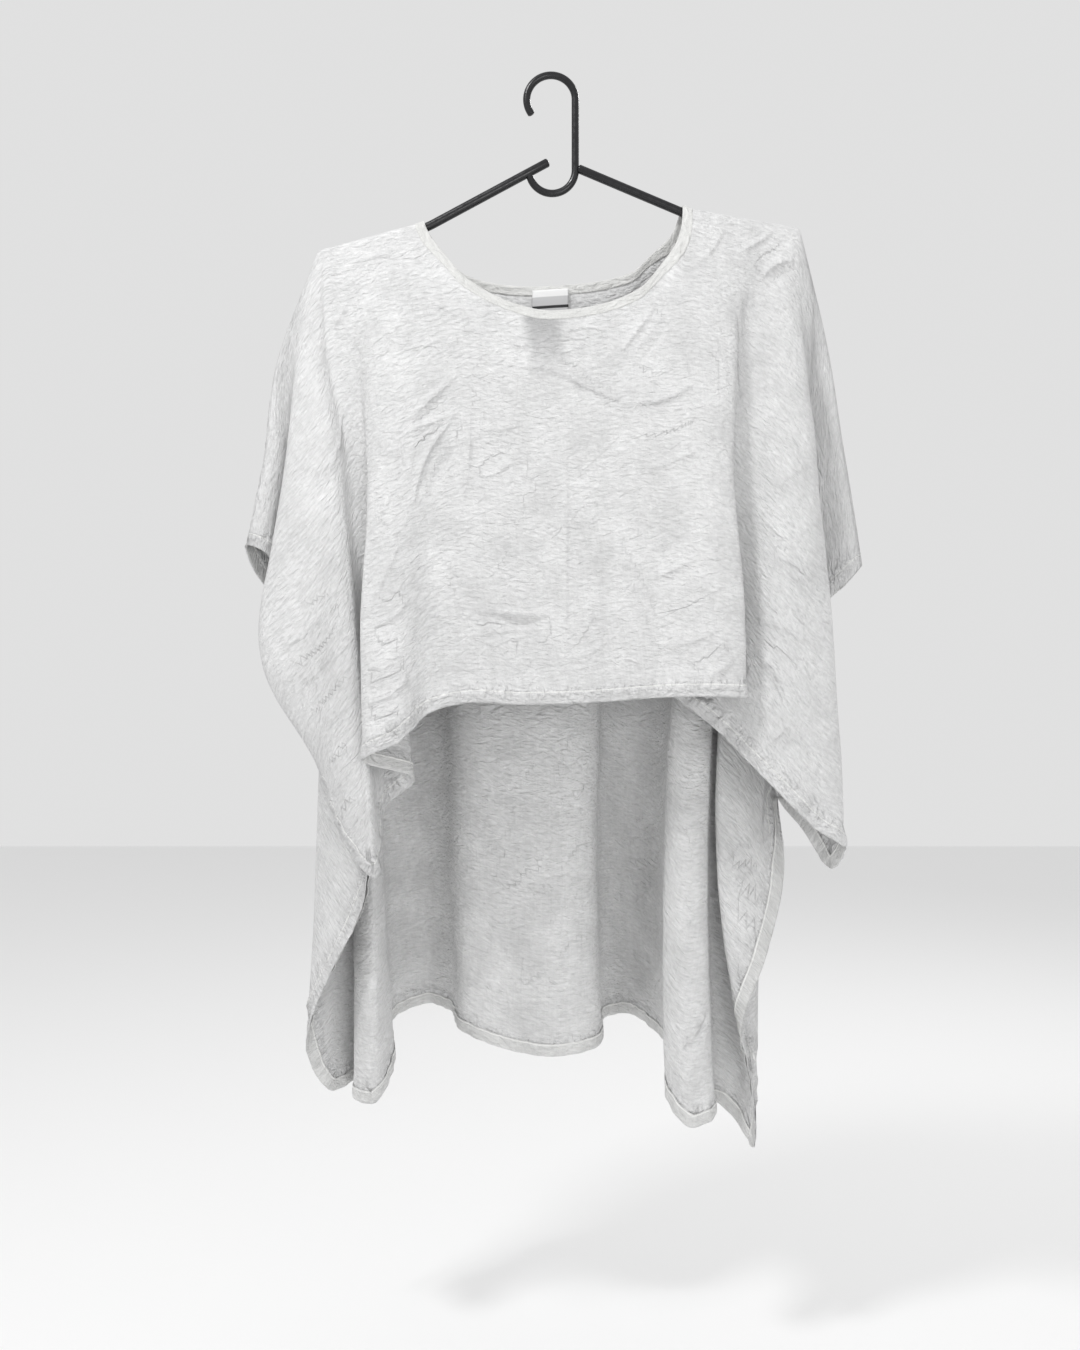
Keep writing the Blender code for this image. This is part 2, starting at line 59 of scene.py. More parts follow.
# Hanger, as in the solids
TUBE = 3.8                             # radius of the arms
TILT = math.radians(2.7)               # it hangs a little askew
BEND = (115.0, -124.0)                 # where an arm turns flatter
ARM_IN = (21.0, -79.0)                 # where an arm starts
TIP = 204.0                            # where an arm ends
SLOPE_IN = (ARM_IN[1] - BEND[1]) / (BEND[0] - ARM_IN[0])
SLOPE_OUT = math.tan(math.radians(12.4))

# Cloth, as in the solids
WALL, GAP, HEM = 1.05, 0.3, 11.0
WRAP = TUBE + 0.6 + WALL / 2           # radius of the cloth over an arm
CAP = 8.0                              # stretch of the seam that turns round a tip
QUARTER = WRAP * math.pi / 2           # cloth used up on the way down an arm's side
NECK_MID, NECK_HALF = -3.5, 111.5
NECK = {"front": (92.0, 1.6, 2.5), "back": (62.0, 2.2, 2.9)}    # drop, powers of the oval's halves
NECK_BLEND = 36.0                      # stretch in which the seam leaves the arm at the neck
BINDING, BINDING_WALL = 8.5, 1.6
NECK_OUT = BINDING + 2 * GAP           # from the neck edge to the solid panels' edge
TUCK = NECK_OUT - 3.5                  # the dressed panels start further under the binding
CONE = (104.0, 72.0, 30.0)             # reach of the sleeves' cones beyond the tips, and depth
ONSET = (40.0, 190.0)                  # depths between which folds set in below a tip
TIP_BLEND = 24.0                       # stretch of the seam in which a sleeve's cone sets in
BEND_BLEND = (4.0, 12.0)               # start before the bend, and length, of the cloth's own bend
PART_FADE = 28.0                       # stretch in which the parting surface falls to nothing
ROOM = (16.0, 12.0)                    # stretches beside and below a seam in which the panels part
LEAST_STEP = 4.0                       # least distance between two fold lines on the ring
TIP_CLEAR = 10.0                       # stretch before a tip where no neck or label line starts
NUDGE, CLEAR = 0.4, 0.5                # step for a slope, and its least distance from a side seam
LOOKUP = 8001                          # places tried when a line is looked up by its start
FLAT = {"front": (973.0, 450.0, 0.309), "back": (973.0, 780.0, 0.567)}    # mm, mm and square metres

# Dressed cloth
SEWN = HEM - 1.0                       # depth of the line of stitches over a turned edge
SHADE = (-47.5, -12.5, 104.0, 168.0)   # painted shadow of the label behind, seen through the front: left, right, top, end
SHADE_GREY = "8f8f90"
CREASE_GAIN, CREASE_STEEP, CREST_REACH = 1.8, 0.35, 9.0
MIRRORED = (24.0, 26.0, 360.0, 0.8)    # the back's hidden creases: mirror, shift down, depth limit, share
ROUNDING = {"front": (34, 200, 150), "back": (15, 560, 190)}    # width of the bell, depth, and fade below it

# Patterns of the finishes.  Threads and ribs are drawn coarser than real ones, so that they show.
THREAD_STEP, RIB_STEP = 0.75, 0.6
GRAIN = (
    # name, size along the weft and across it, turn in radians, detail, roughness
    ("slub", 34.0, 1.7, 0.0, 3.0, 0.6),        # thick and thin places in the weft
    ("ends", 1.7, 30.0, 0.0, 2.0, 0.5),        # uneven warp threads
    ("crinkle", 19.0, 5.6, 0.38, 1.5, 0.5),    # slanting one way
    ("crossed", 16.0, 4.8, -0.3, 1.5, 0.5),    # slanting the other way
    ("fine", 7.0, 2.7, 0.14, 5.0, 0.66),       # finest crumpling
)
PATCHES = 26.0                         # a metre: soft patches near 38 mm wide, of painted shade in the tone and of deeper crinkle
GATHERS = (0.2, 0.12)                  # a millimetre: gathers 5 mm wide along a hem and 8 mm deep
MOTTLE = 240.0                         # a metre: spots in the plastic's gloss, near 4 mm wide
TAPE_GREY = (5.8, 6.4)                 # where the label turns from white to grey
TAPE_LINE = (15.0, 1.0, 1.5)           # its dark line: middle, half width, and with the soft edge

# Pieces in the order in which they are built
PIECES = (
    # piece, finish slot, CAD node it stands for
    ("front_cloth", "linen", "front_panel"),
    ("front_hems", "linen", ""),
    ("front_stitches", "linen", ""),
    ("back_cloth", "linen", "back_panel"),
    ("back_hems", "linen", ""),
    ("back_stitches", "linen", ""),
    ("neck_band", "binding", "neck_binding"),
    ("neck_stitches", "binding", ""),
    ("neck_tag", "label", "neck_label"),
    ("hanger_bars", "hanger", "hanger"),
)

# Camera and stage, in metres and watts
CAMERA = (-0.0095, -1.3, -0.5155)
SENSOR = 24.0                          # mm high
PHOTO_HIGH, PHOTO_SCALE = 1350, 0.000865     # rows of the photo, metres a pixel at the hanger
FLOOR_Z, FLOOR_HALF = -1.12, 4.0
AIM = (0.0, 0.0, -0.5)
LAMPS = (
    # x, y, z, watts, size
    (-0.8, -0.8, 0.85, 12.0, 0.3),
    (0.6, -2.1, -0.4, 8.0, 0.8),
    (0.9, 1.3, 0.8, 9.0, 0.4),
)

# Fold lines, from the picture's left sleeve to its right: where a line leaves the seam
# (top), where it ends (x, y, z), how far it bows between and how late it bows out.
FRONT_FOLDS = (
    # name, edge, top, x, y, z, bow_x, bow_y, late
    ("sleeve_seam_l", "cuff", -212, -263, 0, -403, -4, 0, 1),
    ("cuff_l", "cuff", -211.6, -249, -4, -408, -3, -1, 1),
    ("cuff_b_l", "cuff", -211, -236, 8, -424, -2, 1, 1),
    ("underarm_l", "seam", -209.6, -226, 15, -485, 0, -4, 1),
    ("side_seam_l", "seam", -207.8, -217, 8, -556, -36, -21, 10),
    ("slit_top_l", "slit", -206.4, -195, 3, -613, -10, -38, 3),
    ("slit_l", "slit", -205, -175, -22, -660, 2, -29, 1),
    ("corner_l", "hem", -204, -149, -38, -686, 2, -19, 1),
    ("tongue_l", "hem", -202, -141, -4, -628, 2, -22, 1),
    ("inner_fold_l", "hem", -190, -117, -22, -606, 5, -11, 1),
    ("front_edge_l", "hem", -162, -154, -72, -584, -3, -8, 1),
    ("strip_l", "hem", -132, -121, -86, -568, -2, -11, 1),
    ("valley_l", "hem", -104, -101, -68, -547, 0, -6, 1),
    ("front_a", "hem", -76, -74, -66, -539, 0, -9, 1),
    ("front_b", "hem", -30, -26, -58, -540, 0, -11, 1),
    ("front_c", "hem", 40, 40, -56, -538, 0, -10, 1),
    ("front_d", "hem", 92, 90, -60, -534, 0, -8, 1),
    ("strip_r", "hem", 128, 133, -76, -533, 2, -10, 1),
    ("front_edge_r", "hem", 150, 158, -68, -534, 0, -10, 1),
    ("inner_fold_r", "hem", 178, 99, -26, -528, 0, -7, 1),
    ("side_a", "hem", 190, 136, -34, -559, 0, -5, 1),
    ("side_b", "hem", 200, 181, -58, -606, 3, -11, 1),
    ("side_c", "hem", 204, 219, -52, -643, 3, -14, 1),
    ("roll_r", "hem", 204.8, 247, -36, -663, 2, -10, 1),
    ("corner_r", "hem", 205.4, 240, -16, -681, 3, -9, 1),
    ("slit_r", "slit", 206.4, 217, 0, -648, 5, -9, 1),
    ("slit_top_r", "slit", 207.1, 197, 9, -622, 19, -12, 4),
    ("side_seam_r", "seam", 208.6, 203, 9, -555, 16, -6, 4),
    ("underarm_r", "seam", 210, 210, 11, -487, 0, 2, 1),
    ("cuff_b_r", "cuff", 211, 239, 4, -450, 2, -2, 1),
    ("cuff_r", "cuff", 211.6, 256, -5, -434, 4, -2, 1),
    ("sleeve_seam_r", "cuff", 212, 269, 0, -421, 3, 0, 1),
)
BACK_FOLDS = (
    # name, edge, top, x, y, z, bow_x, bow_y, late
    ("sleeve_seam_l", "cuff", -212, -263, 0, -403, -4, 0, 1),
    ("cuff_l", "cuff", -211.6, -261, 22, -424, -3, 3, 1),
    ("cuff_b_l", "cuff", -211.3, -249, 34, -442, -2, 3, 1),
    ("underarm_l", "seam", -210.5, -226, 15, -485, 0, 14, 1),
    ("side_seam_l", "seam", -209.6, -217, 8, -556, 5, 14, 3),
    ("slit_top_l", "slit", -208.8, -195, 3, -613, 0, 12, 1),
    ("slit_a_l", "slit", -207.6, -158, -6, -687, -3, 17, 1),
    ("slit_tip_l", "slit", -207.4, -159, 0, -703, -3, 19, 1),
    ("slit_b_l", "slit", -206.6, -182, 12, -756, -3, 20, 1),
    ("roll_l", "slit", -205.8, -206, 34, -804, -1, 15, 1),
    ("slit_c_l", "slit", -205.2, -218, 44, -851, 5, 18, 1),
    ("corner_l", "hem", -204.5, -199, 62, -892, 7, 17, 1),
    ("inner_l", "hem", -204, -179, 94, -890, 3, 9, 1),
    ("pleat_edge_l", "hem", -202, -175, 48, -896, 5, 14, 1),
    ("pleat_l", "hem", -198, -154, 24, -892, 5, 10, 1),
    ("pleat_side_l", "hem", -192, -143, 54, -873, 3, 9, 1),
    ("recess_a_l", "hem", -182, -144, 138, -839, 0, -3, 1),
    ("recess_b_l", "hem", -152, -120, 154, -833, 0, -3, 1),
    ("recess_c_l", "hem", -124, -96, 128, -833, 0, -4, 1),
    ("bulge_l", "hem", -90, -77, 66, -841, 0, 1, 1),
    ("bulge_a", "hem", -50, -41, 50, -851, 0, 1, 1),
    ("bulge_b", "hem", 0, 1, 46, -857, 0, -1, 1),
    ("bulge_r", "hem", 56, 39, 58, -853, -9, 1, 1),
    ("recess_a_r", "hem", 102, 53, 124, -839, -26, -2, 1),
    ("recess_b_r", "hem", 126, 79, 152, -843, -24, -2, 1),
    ("recess_c_r", "hem", 144, 100, 118, -852, -24, 1, 1),
    ("pleat_side_r", "hem", 157, 109, 50, -865, -26, 7, 1),
    ("pleat_a_r", "hem", 164, 102, 14, -887, -26, 5, 1),
    ("pleat_b_r", "hem", 172, 120, -2, -906, -24, 3, 1),
    ("pleat_edge_r", "hem", 180, 139, 8, -904, -21, 2, 1),
    ("inner_r", "hem", 192, 149, 50, -899, -22, 7, 1),
    ("flap_back_r", "hem", 200, 168, 50, -917, 2, 13, 1),
    ("corner_r", "hem", 204, 178, 26, -932, 0, 15, 1),
    ("flap_fold_r", "slit", 204.9, 175, 22, -872, -19, 16, 2),
    ("flap_front_r", "slit", 205.5, 167, 14, -829, -37, 12, 3),
    ("slit_b_r", "slit", 206.6, 189, 8, -755, -24, 12, 3),
    ("slit_a_r", "slit", 207.7, 203, 7, -683, -21, 12, 4),
    ("slit_top_r", "slit", 208.6, 197, 9, -622, -14, 12, 4),
    ("side_seam_r", "seam", 209.5, 203, 9, -555, -9, 14, 4),
    ("underarm_r", "seam", 210.5, 210, 11, -487, 0, 14, 1),
    ("cuff_b_r", "cuff", 211.2, 240, 30, -454, 3, 3, 1),
    ("cuff_r", "cuff", 211.7, 261, 18, -434, 5, 1, 1),
    ("sleeve_seam_r", "cuff", 212, 269, 0, -421, 3, 0, 1),
)

# Surface between the panels, by height: how far out it reaches each way, and its depth there
PARTING = (
    # z, left out, left y, right out, right y
    (-150, 203, 0, 218, 0),
    (-200, 211, 0, 226, 0),
    (-260, 225, 4, 239, 4),
    (-320, 244, 8, 253, 9),
    (-400, 263, 12, 266, 12),
    (-425, 285, 13, 285, 12),
    (-485, 330, 15, 330, 11),
    (-555, 330, 8, 330, 9),
    (-612, 330, 3, 330, 9),
    (-645, 330, -8, 330, 3),
    (-690, 330, -24, 330, -6),
    (-760, 330, -30, 330, -12),
)

# Creases in the cloth's own flat millimetres: across from the middle and down from
# the shoulder.  height: ridges positive, troughs negative.
CREASES = {
    "front": (
        # u0, v0, u1, v1, bend, width, height
        (-165, 184, -112, 153, 1.5, 3.4, 1.5),
        (-163, 194, -121, 171, -1, 6, -0.9),
        (-177, 195, -118, 189, 2, 3.6, 1.4),
        (-177, 259, -122, 193, -7, 3.4, 1.8),
        (-162, 270, -120, 216, -6, 7, -1.1),
        (-177, 189, -178, 236, 2, 7, -1.2),
        (-131, 276, -108, 185, 3, 4.5, 0.8),
        (-104, 208, -66, 203, 2, 4, 0.7),
        (-105, 220, -70, 218, -2, 3.4, 0.8),
        (-108, 254, -74, 233, 1, 3, 1),
        (-140, 368, -62, 372, 2, 3, 1.8),
        (-114, 376, -75, 378, 2, 6, -1.3),
        (-144, 391, -103, 382, 2, 4, 0.8),
        (-118, 402, -100, 408, 1, 3.6, -0.9),
        (-59, 150, -12, 161, -4, 3.4, 1),
        (-23, 156, 29, 187, 1, 3.2, 1.8),
        (-8, 154, 36, 176, 1, 7, -0.9),
        (25, 188, 97, 172, 8, 3.4, 1.4),
        (35, 141, 73, 100, 1, 5, 1.3),
        (52, 152, 82, 115, 1, 6, -0.9),
        (-20, 138, 9, 128, 2, 4, 0.8),
        (-21, 121, 20, 115, -2, 4, 0.7),
        (-126, 79, -93, 106, 2, 5, 1),
        (-71, 115, -50, 131, 2, 5, 0.8),
        (26, 349, 84, 328, 3, 5, 1.2),
        (48, 325, 78, 305, 1, 7, -1),
        (-86, 300, -54, 321, 3, 10, -1),
        (-72, 292, 5, 287, 3, 4, 0.6),
        (-37, 260, 35, 270, -3, 4, 0.6),
        (38, 250, 106, 225, 4, 5, 0.8),
        (33, 408, 98, 391, 4, 5, 0.9),
        (-61, 413, -13, 399, 3, 4, 0.8),
        (75, 436, 109, 414, 3, 4, 1),
        (190, 58, 215, 31, -5, 3.4, 1.8),
        (196, 61, 225, 34, -4, 5, -1),
        (161, 37, 189, 13, 2, 3.6, 1.3),
        (116, 57, 145, 20, 1, 5, 1),
        (148, 87, 213, 186, 4, 8, -0.9),
        (277, 279, 345, 273, -3, 3.4, 1.6),
        (279, 289, 342, 285, -2, 5, -0.9),
        (289, 372, 334, 381, -3, 3.6, -1.6),
        (285, 366, 335, 370, -3, 3.6, 1.1),
        (281, 340, 336, 322, -3, 4, 0.9),
        (330, 422, 343, 397, 1, 3.6, 1.3),
        (311, 300, 362, 298, -2, 3.4, 0.9),
        (254, 172, 284, 195, 2, 5, 0.8),
        (255, 260, 294, 262, -2, 4, 0.9),
        (-241, 348, -204, 341, 3, 4, 1.5),
        (-262, 409, -216, 403, 3, 4.5, 1.7),
        (-264, 439, -232, 431, 2, 4, 1.3),
        (-231, 324, -214, 303, 1, 3.6, 1.1),
        (-217, 309, -200, 287, 1, 3.6, 1.1),
        (-217, 260, -194, 240, 1, 4, 0.9),
        (-254, 380, -221, 379, 2, 3.6, 0.9),
        (-425, 220, -377, 239, 2, 3.6, 0.9),
        (-446, 246, -386, 274, 2, 3.6, 0.9),
        (-387, 200, -345, 212, 2, 3.6, 0.8),
        (-459, 295, -410, 317, 2, 3.6, 0.9),
        (-314, 154, -262, 138, 2, 6, 0.9),
        (-232, 72, -204, 53, 2, 6, 1),
        (-193, 21, -139, 23, 3, 6, 0.9),
        (-480, 343, -444, 358, 1, 3.4, 1.1),
        (-484, 388, -457, 393, 1, 3.4, 1),
        (-22, 200, -58, 436, 0, 2.2, 0.7),
    ),
    "back": (
        # u0, v0, u1, v1, bend, width, height
        (138, 625, 218, 591, -2, 3.4, 1.5),
        (140, 630, 219, 605, 3, 3.6, 1.7),
        (161, 663, 205, 625, -1, 3.2, 1.5),
        (143, 639, 189, 646, -2, 7, -1.1),
        (292, 561, 310, 550, -2, 4, 1),
        (141, 600, 164, 558, -2, 4, 1),
        (164, 589, 212, 560, -2, 5, 0.9),
        (136, 724, 195, 733, 3, 4, 1.2),
        (163, 707, 215, 707, 3, 4, 1.1),
        (130, 747, 194, 752, 3, 5, 0.9),
        (336, 713, 355, 680, 5, 3.2, 1.6),
        (332, 722, 344, 699, 1, 3.4, 1.3),
        (295, 528, 308, 519, -1, 3.4, 1.2),
        (313, 614, 326, 600, -1, 3.4, 0.9),
        (3, 531, 46, 488, -2, 3.6, 0.9),
        (-54, 502, -23, 491, -2, 3.6, 0.9),
        (-44, 581, -5, 591, 3, 3.6, 1.2),
        (-19, 626, 0, 612, -1, 3.6, 1),
        (5, 612, 51, 621, -2, 3.6, 0.9),
        (-29, 692, 31, 698, -3, 4, 0.9),
        (-102, 722, -36, 723, 3, 3.6, 1),
        (-88, 652, -51, 662, 2, 3.6, 0.7),
        (-82, 529, -30, 541, 3, 4, 0.7),
        (3, 555, 52, 554, -2, 4, 0.8),
        (438, 485, 447, 445, -4, 3.6, 1.4),
        (445, 497, 460, 459, -2, 3.6, 1.2),
        (449, 506, 474, 492, -2, 3.6, 1),
        (422, 426, 410, 393, -2, 5, 0.9),
        (463, 541, 483, 530, 2, 3.6, 0.9),
        (475, 593, 483, 567, -1, 3.4, 1.3),
        (-363, 633, -305, 633, -1, 4, 0.7),
        (-371, 697, -323, 689, -1, 4, 0.7),
        (-2, 470, 0, 762, 0, 2.2, 0.8),
        (-341, 10, -330, 33, -1, 4, 0.9),
        (-315, 0, -308, 30, -1, 4, 0.8),
    ),
}


class Side(Enum):
    """The two panels."""

    FRONT = "front"
    BACK = "back"


@dataclass(frozen=True)
class ClothFinish:
    """Woven cloth: lit and shaded ends of its tone, between which painted shade and painted highlights run,
    and heights of its relief in metres.
    """

    lit: str
    shaded: str
    roughness: float
    slub: float
    crinkle: float
    weave: float
    sewn: bool = False
    creased: bool = False


@dataclass(frozen=True)
class TapeFinish:
    """Label tape: its two tones, the dark line between them, and its ribs."""

    white: str
    grey: str
    line: str
    roughness: float
    rib: float


@dataclass(frozen=True)
class PlasticFinish:
    """Moulded plastic: its colours, and how far its gloss varies."""

    colour: str
    worn: str
    roughness: float
    mottle: float


# Bleached linen in plain weave, washed and creased: matt white, with thick and
# thin threads along the weft and a fine crinkle all over.  Its colour runs from a
# lit to a shaded white: painted shade in the crinkles' hollows and painted
# highlights on their crests, besides the threads' own unevenness.
LINEN = ClothFinish("fafafa", "d4d4d4", 0.86, 0.0002, 0.0017, 0.00005, sewn=True, creased=True)
# The same linen turned and pressed at the edges, two layers more; a little greyer, as painted shade where the
# extra layers let less light through.
TURNED = ClothFinish("f2f2f1", "cccccb", 0.86, 0.0002, 0.0016, 0.00005, sewn=True)
# The same linen cut on the bias for the binding: smoother, as it is stretched round the neck.
BAND = ClothFinish("f0f0ee", "d6d6d4", 0.86, 0.00014, 0.0013, 0.00006)
# Cotton sewing thread: brighter than the cloth.
THREAD = ClothFinish("fbfbf9", "f0f0ee", 0.7, 0.0, 0.0, 0.00002)
# Polyester satin tape with fine ribs: smoother and whiter than the linen.
TAPE = TapeFinish("f2f2f2", "c9c9ca", "1e1e20", 0.55, 0.00003)
# Injection-moulded polystyrene: black, with a half-gloss skin that is a little uneven.
BLACK = PlasticFinish("0b0b0d", "16161a", 0.3, 0.12)


def linear(code: str) -> tuple[float, float, float, float]:
    """Linear colour of an sRGB hex code.

    Args:
        code: six hex digits.

    Returns:
        Red, green, blue and alpha.
    """
    raw = [int(code[i:i + 2], 16) / 255 for i in (0, 2, 4)]
    return tuple(c / 12.92 if c <= 0.04045 else ((c + 0.055) / 1.055) ** 2.4 for c in raw) + (1.0,)


def smooth(x: Array) -> Array:
    """Soft step from 0 to 1."""
    x = np.clip(x, 0, 1)
    return x * x * (3 - 2 * x)


def unit(a: Array) -> Array:
    """Rows as unit vectors."""
    return a / np.maximum(np.linalg.norm(a, axis=-1), 1e-9)[..., None]


def path_length(points: Array) -> Array:
    """Length along a path up to each of its points."""
    return np.concatenate([[0.0], np.cumsum(np.linalg.norm(np.diff(points, axis=0), axis=1))])


def wander(along: Array, waves: tuple[tuple[float, float, float], ...]) -> Array:
    """Sum of sines with (wavelength, phase, height) each, uneven as puckers are."""
    return sum(h * np.sin(2 * math.pi * along / w + p) for w, p, h in waves)


def tilt(x: Array, z: Array) -> tuple[Array, Array]:
    """Turn points of the level hanger about the hook."""
    return x * math.cos(TILT) - z * math.sin(TILT), z * math.cos(TILT) + x * math.sin(TILT)


def arm_axis(a: Array) -> Array:
    """Height of an arm's axis at a distance a from the middle."""
    return np.where(a < BEND[0], BEND[1] + (BEND[0] - a) * SLOPE_IN,
                    BEND[1] - (a - BEND[0]) * SLOPE_OUT)


def rise(a: Array) -> Array:
    """Height of the bent cloth over an arm's axis, which slopes."""
    inner, outer = math.hypot(1, SLOPE_IN), math.hypot(1, SLOPE_OUT)
    return WRAP * (inner + (outer - inner) * smooth((a - BEND[0] + BEND_BLEND[0]) / BEND_BLEND[1]))


def seam_points(s: Array) -> tuple[Array, Array]:
    """Shoulder seam over the arms, straight across the neck and round the tips.

    Args:
        s: places along the seam, from the middle of the hanger.

    Returns:
        Points, and how far each has turned round a tip.
    """
    a = np.abs(s)
    left, right = NECK_MID - NECK_HALF, NECK_MID + NECK_HALF
    z_left, z_right = (arm_axis(abs(e)) + rise(abs(e)) for e in (left, right))
    neck = z_left + (s - left) / (right - left) * (z_right - z_left)
    over = arm_axis(np.minimum(a, TIP)) + rise(a)
    inside = np.minimum(s - left, right - s)
    neck = neck + (over - neck) * smooth(1 - inside / NECK_BLEND)
    turn = np.clip((a - TIP) / CAP, 0, 1) * math.pi / 2
    z = np.where((s > left) & (s < right), neck, over) - WRAP * (1 - np.cos(turn))
    x, z = tilt(np.sign(s) * (np.minimum(a, TIP) + WRAP * np.sin(turn)), z)
    return np.stack([x, np.zeros_like(x), z], -1), turn


def parting(x: Array, z: Array) -> Array:
    """Depth of the surface between the panels, which their seams lie on.

    It has the depth that PARTING gives for the height, and falls to nothing
    past the outline there.

    Args:
        x: places across.
        z: heights.

    Returns:
        Depths.
    """
    table = np.array(PARTING, float)[::-1]
    left = [np.interp(z, table[:, 0], table[:, i]) for i in (1, 2)]
    right = [np.interp(z, table[:, 0], table[:, i]) for i in (3, 4)]
    out, y = np.where(x < 0, left, right)
    return y * smooth((out - np.abs(x)) / PART_FADE)


class Ring:
    """Both panels as one closed ring of fold lines, so the sides run smoothly."""

    def __init__(self) -> None:
        """Read the fold tables and work out the spline's slope at every line."""
        rows = list(FRONT_FOLDS) + list(BACK_FOLDS[-2:0:-1])
        self.edges = [r[1] for r in rows]
        self.s = np.array([r[2] for r in rows], float)
        self.end = np.array([r[3:6] for r in rows], float)
        self.bow = np.array([[r[6], r[7], 0.0] for r in rows], float)
        self.late = np.array([r[8] for r in rows], float)
        self.step = np.maximum(np.linalg.norm(np.roll(self.end, -1, 0) - self.end, axis=1), LEAST_STEP)
        self.knot = np.concatenate([[0.0], np.cumsum(self.step)])
        self.n = len(rows)
        self.corner = len(FRONT_FOLDS) - 1
        here, b = np.eye(self.n), self.step[:, None]
        a, after, before = np.roll(b, 1, 0), np.roll(here, 1, 1), np.roll(here, -1, 1)
        self.slope = (after * a / b + here * (b / a - a / b) - before * b / a) / (a + b)

    def cell(self, q: Array) -> tuple[Array, Array, tuple[Array, ...]]:
        """Rows before and after ring positions, and the four weights of a cubic there.

        Args:
            q: ring positions.

        Returns:
            Row before, row after, and the weights of value and slope at both.
        """
        i = np.clip(np.searchsorted(self.knot, q, side="right") - 1, 0, self.n - 1)
        h = self.step[i]
        t = (q - self.knot[i]) / h
        return i, (i + 1) % self.n, (2 * t**3 - 3 * t**2 + 1, (t**3 - 2 * t**2 + t) * h,
                                     3 * t**2 - 2 * t**3, (t**3 - t**2) * h)

    def blend(self, q: Array) -> Array:
        """Weights of every fold line, by a cubic spline.

        Args:
            q: ring positions.

        Returns:
            A row of weights for each position.
        """
        i, j, w = self.cell(np.clip(q, 0, self.knot[-1] - 1e-9))
        eye, (a, b, c, d) = np.eye(self.n), (x[:, None] for x in w)
        return a * eye[i] + b * self.slope[i] + c * eye[j] + d * self.slope[j]

    def seam_at(self, q: Array) -> Array:
        """Where lines leave the seam, never turning back between two rows.

        The slope at a row is the harmonic mean of the climbs beside it, and
        zero where they differ in sign.

        Args:
            q: ring positions.

        Returns:
            Places along the seam.
        """
        climb = (np.roll(self.s, -1) - self.s) / self.step
        before = np.roll(climb, 1)
        same = before * climb > 0
        slope = np.where(same, 2 * before * climb / np.where(same, before + climb, 1.0), 0.0)
        i, j, (a, b, c, d) = self.cell(q)
        return a * self.s[i] + b * slope[i] + c * self.s[j] + d * slope[j]


RING = Ring()


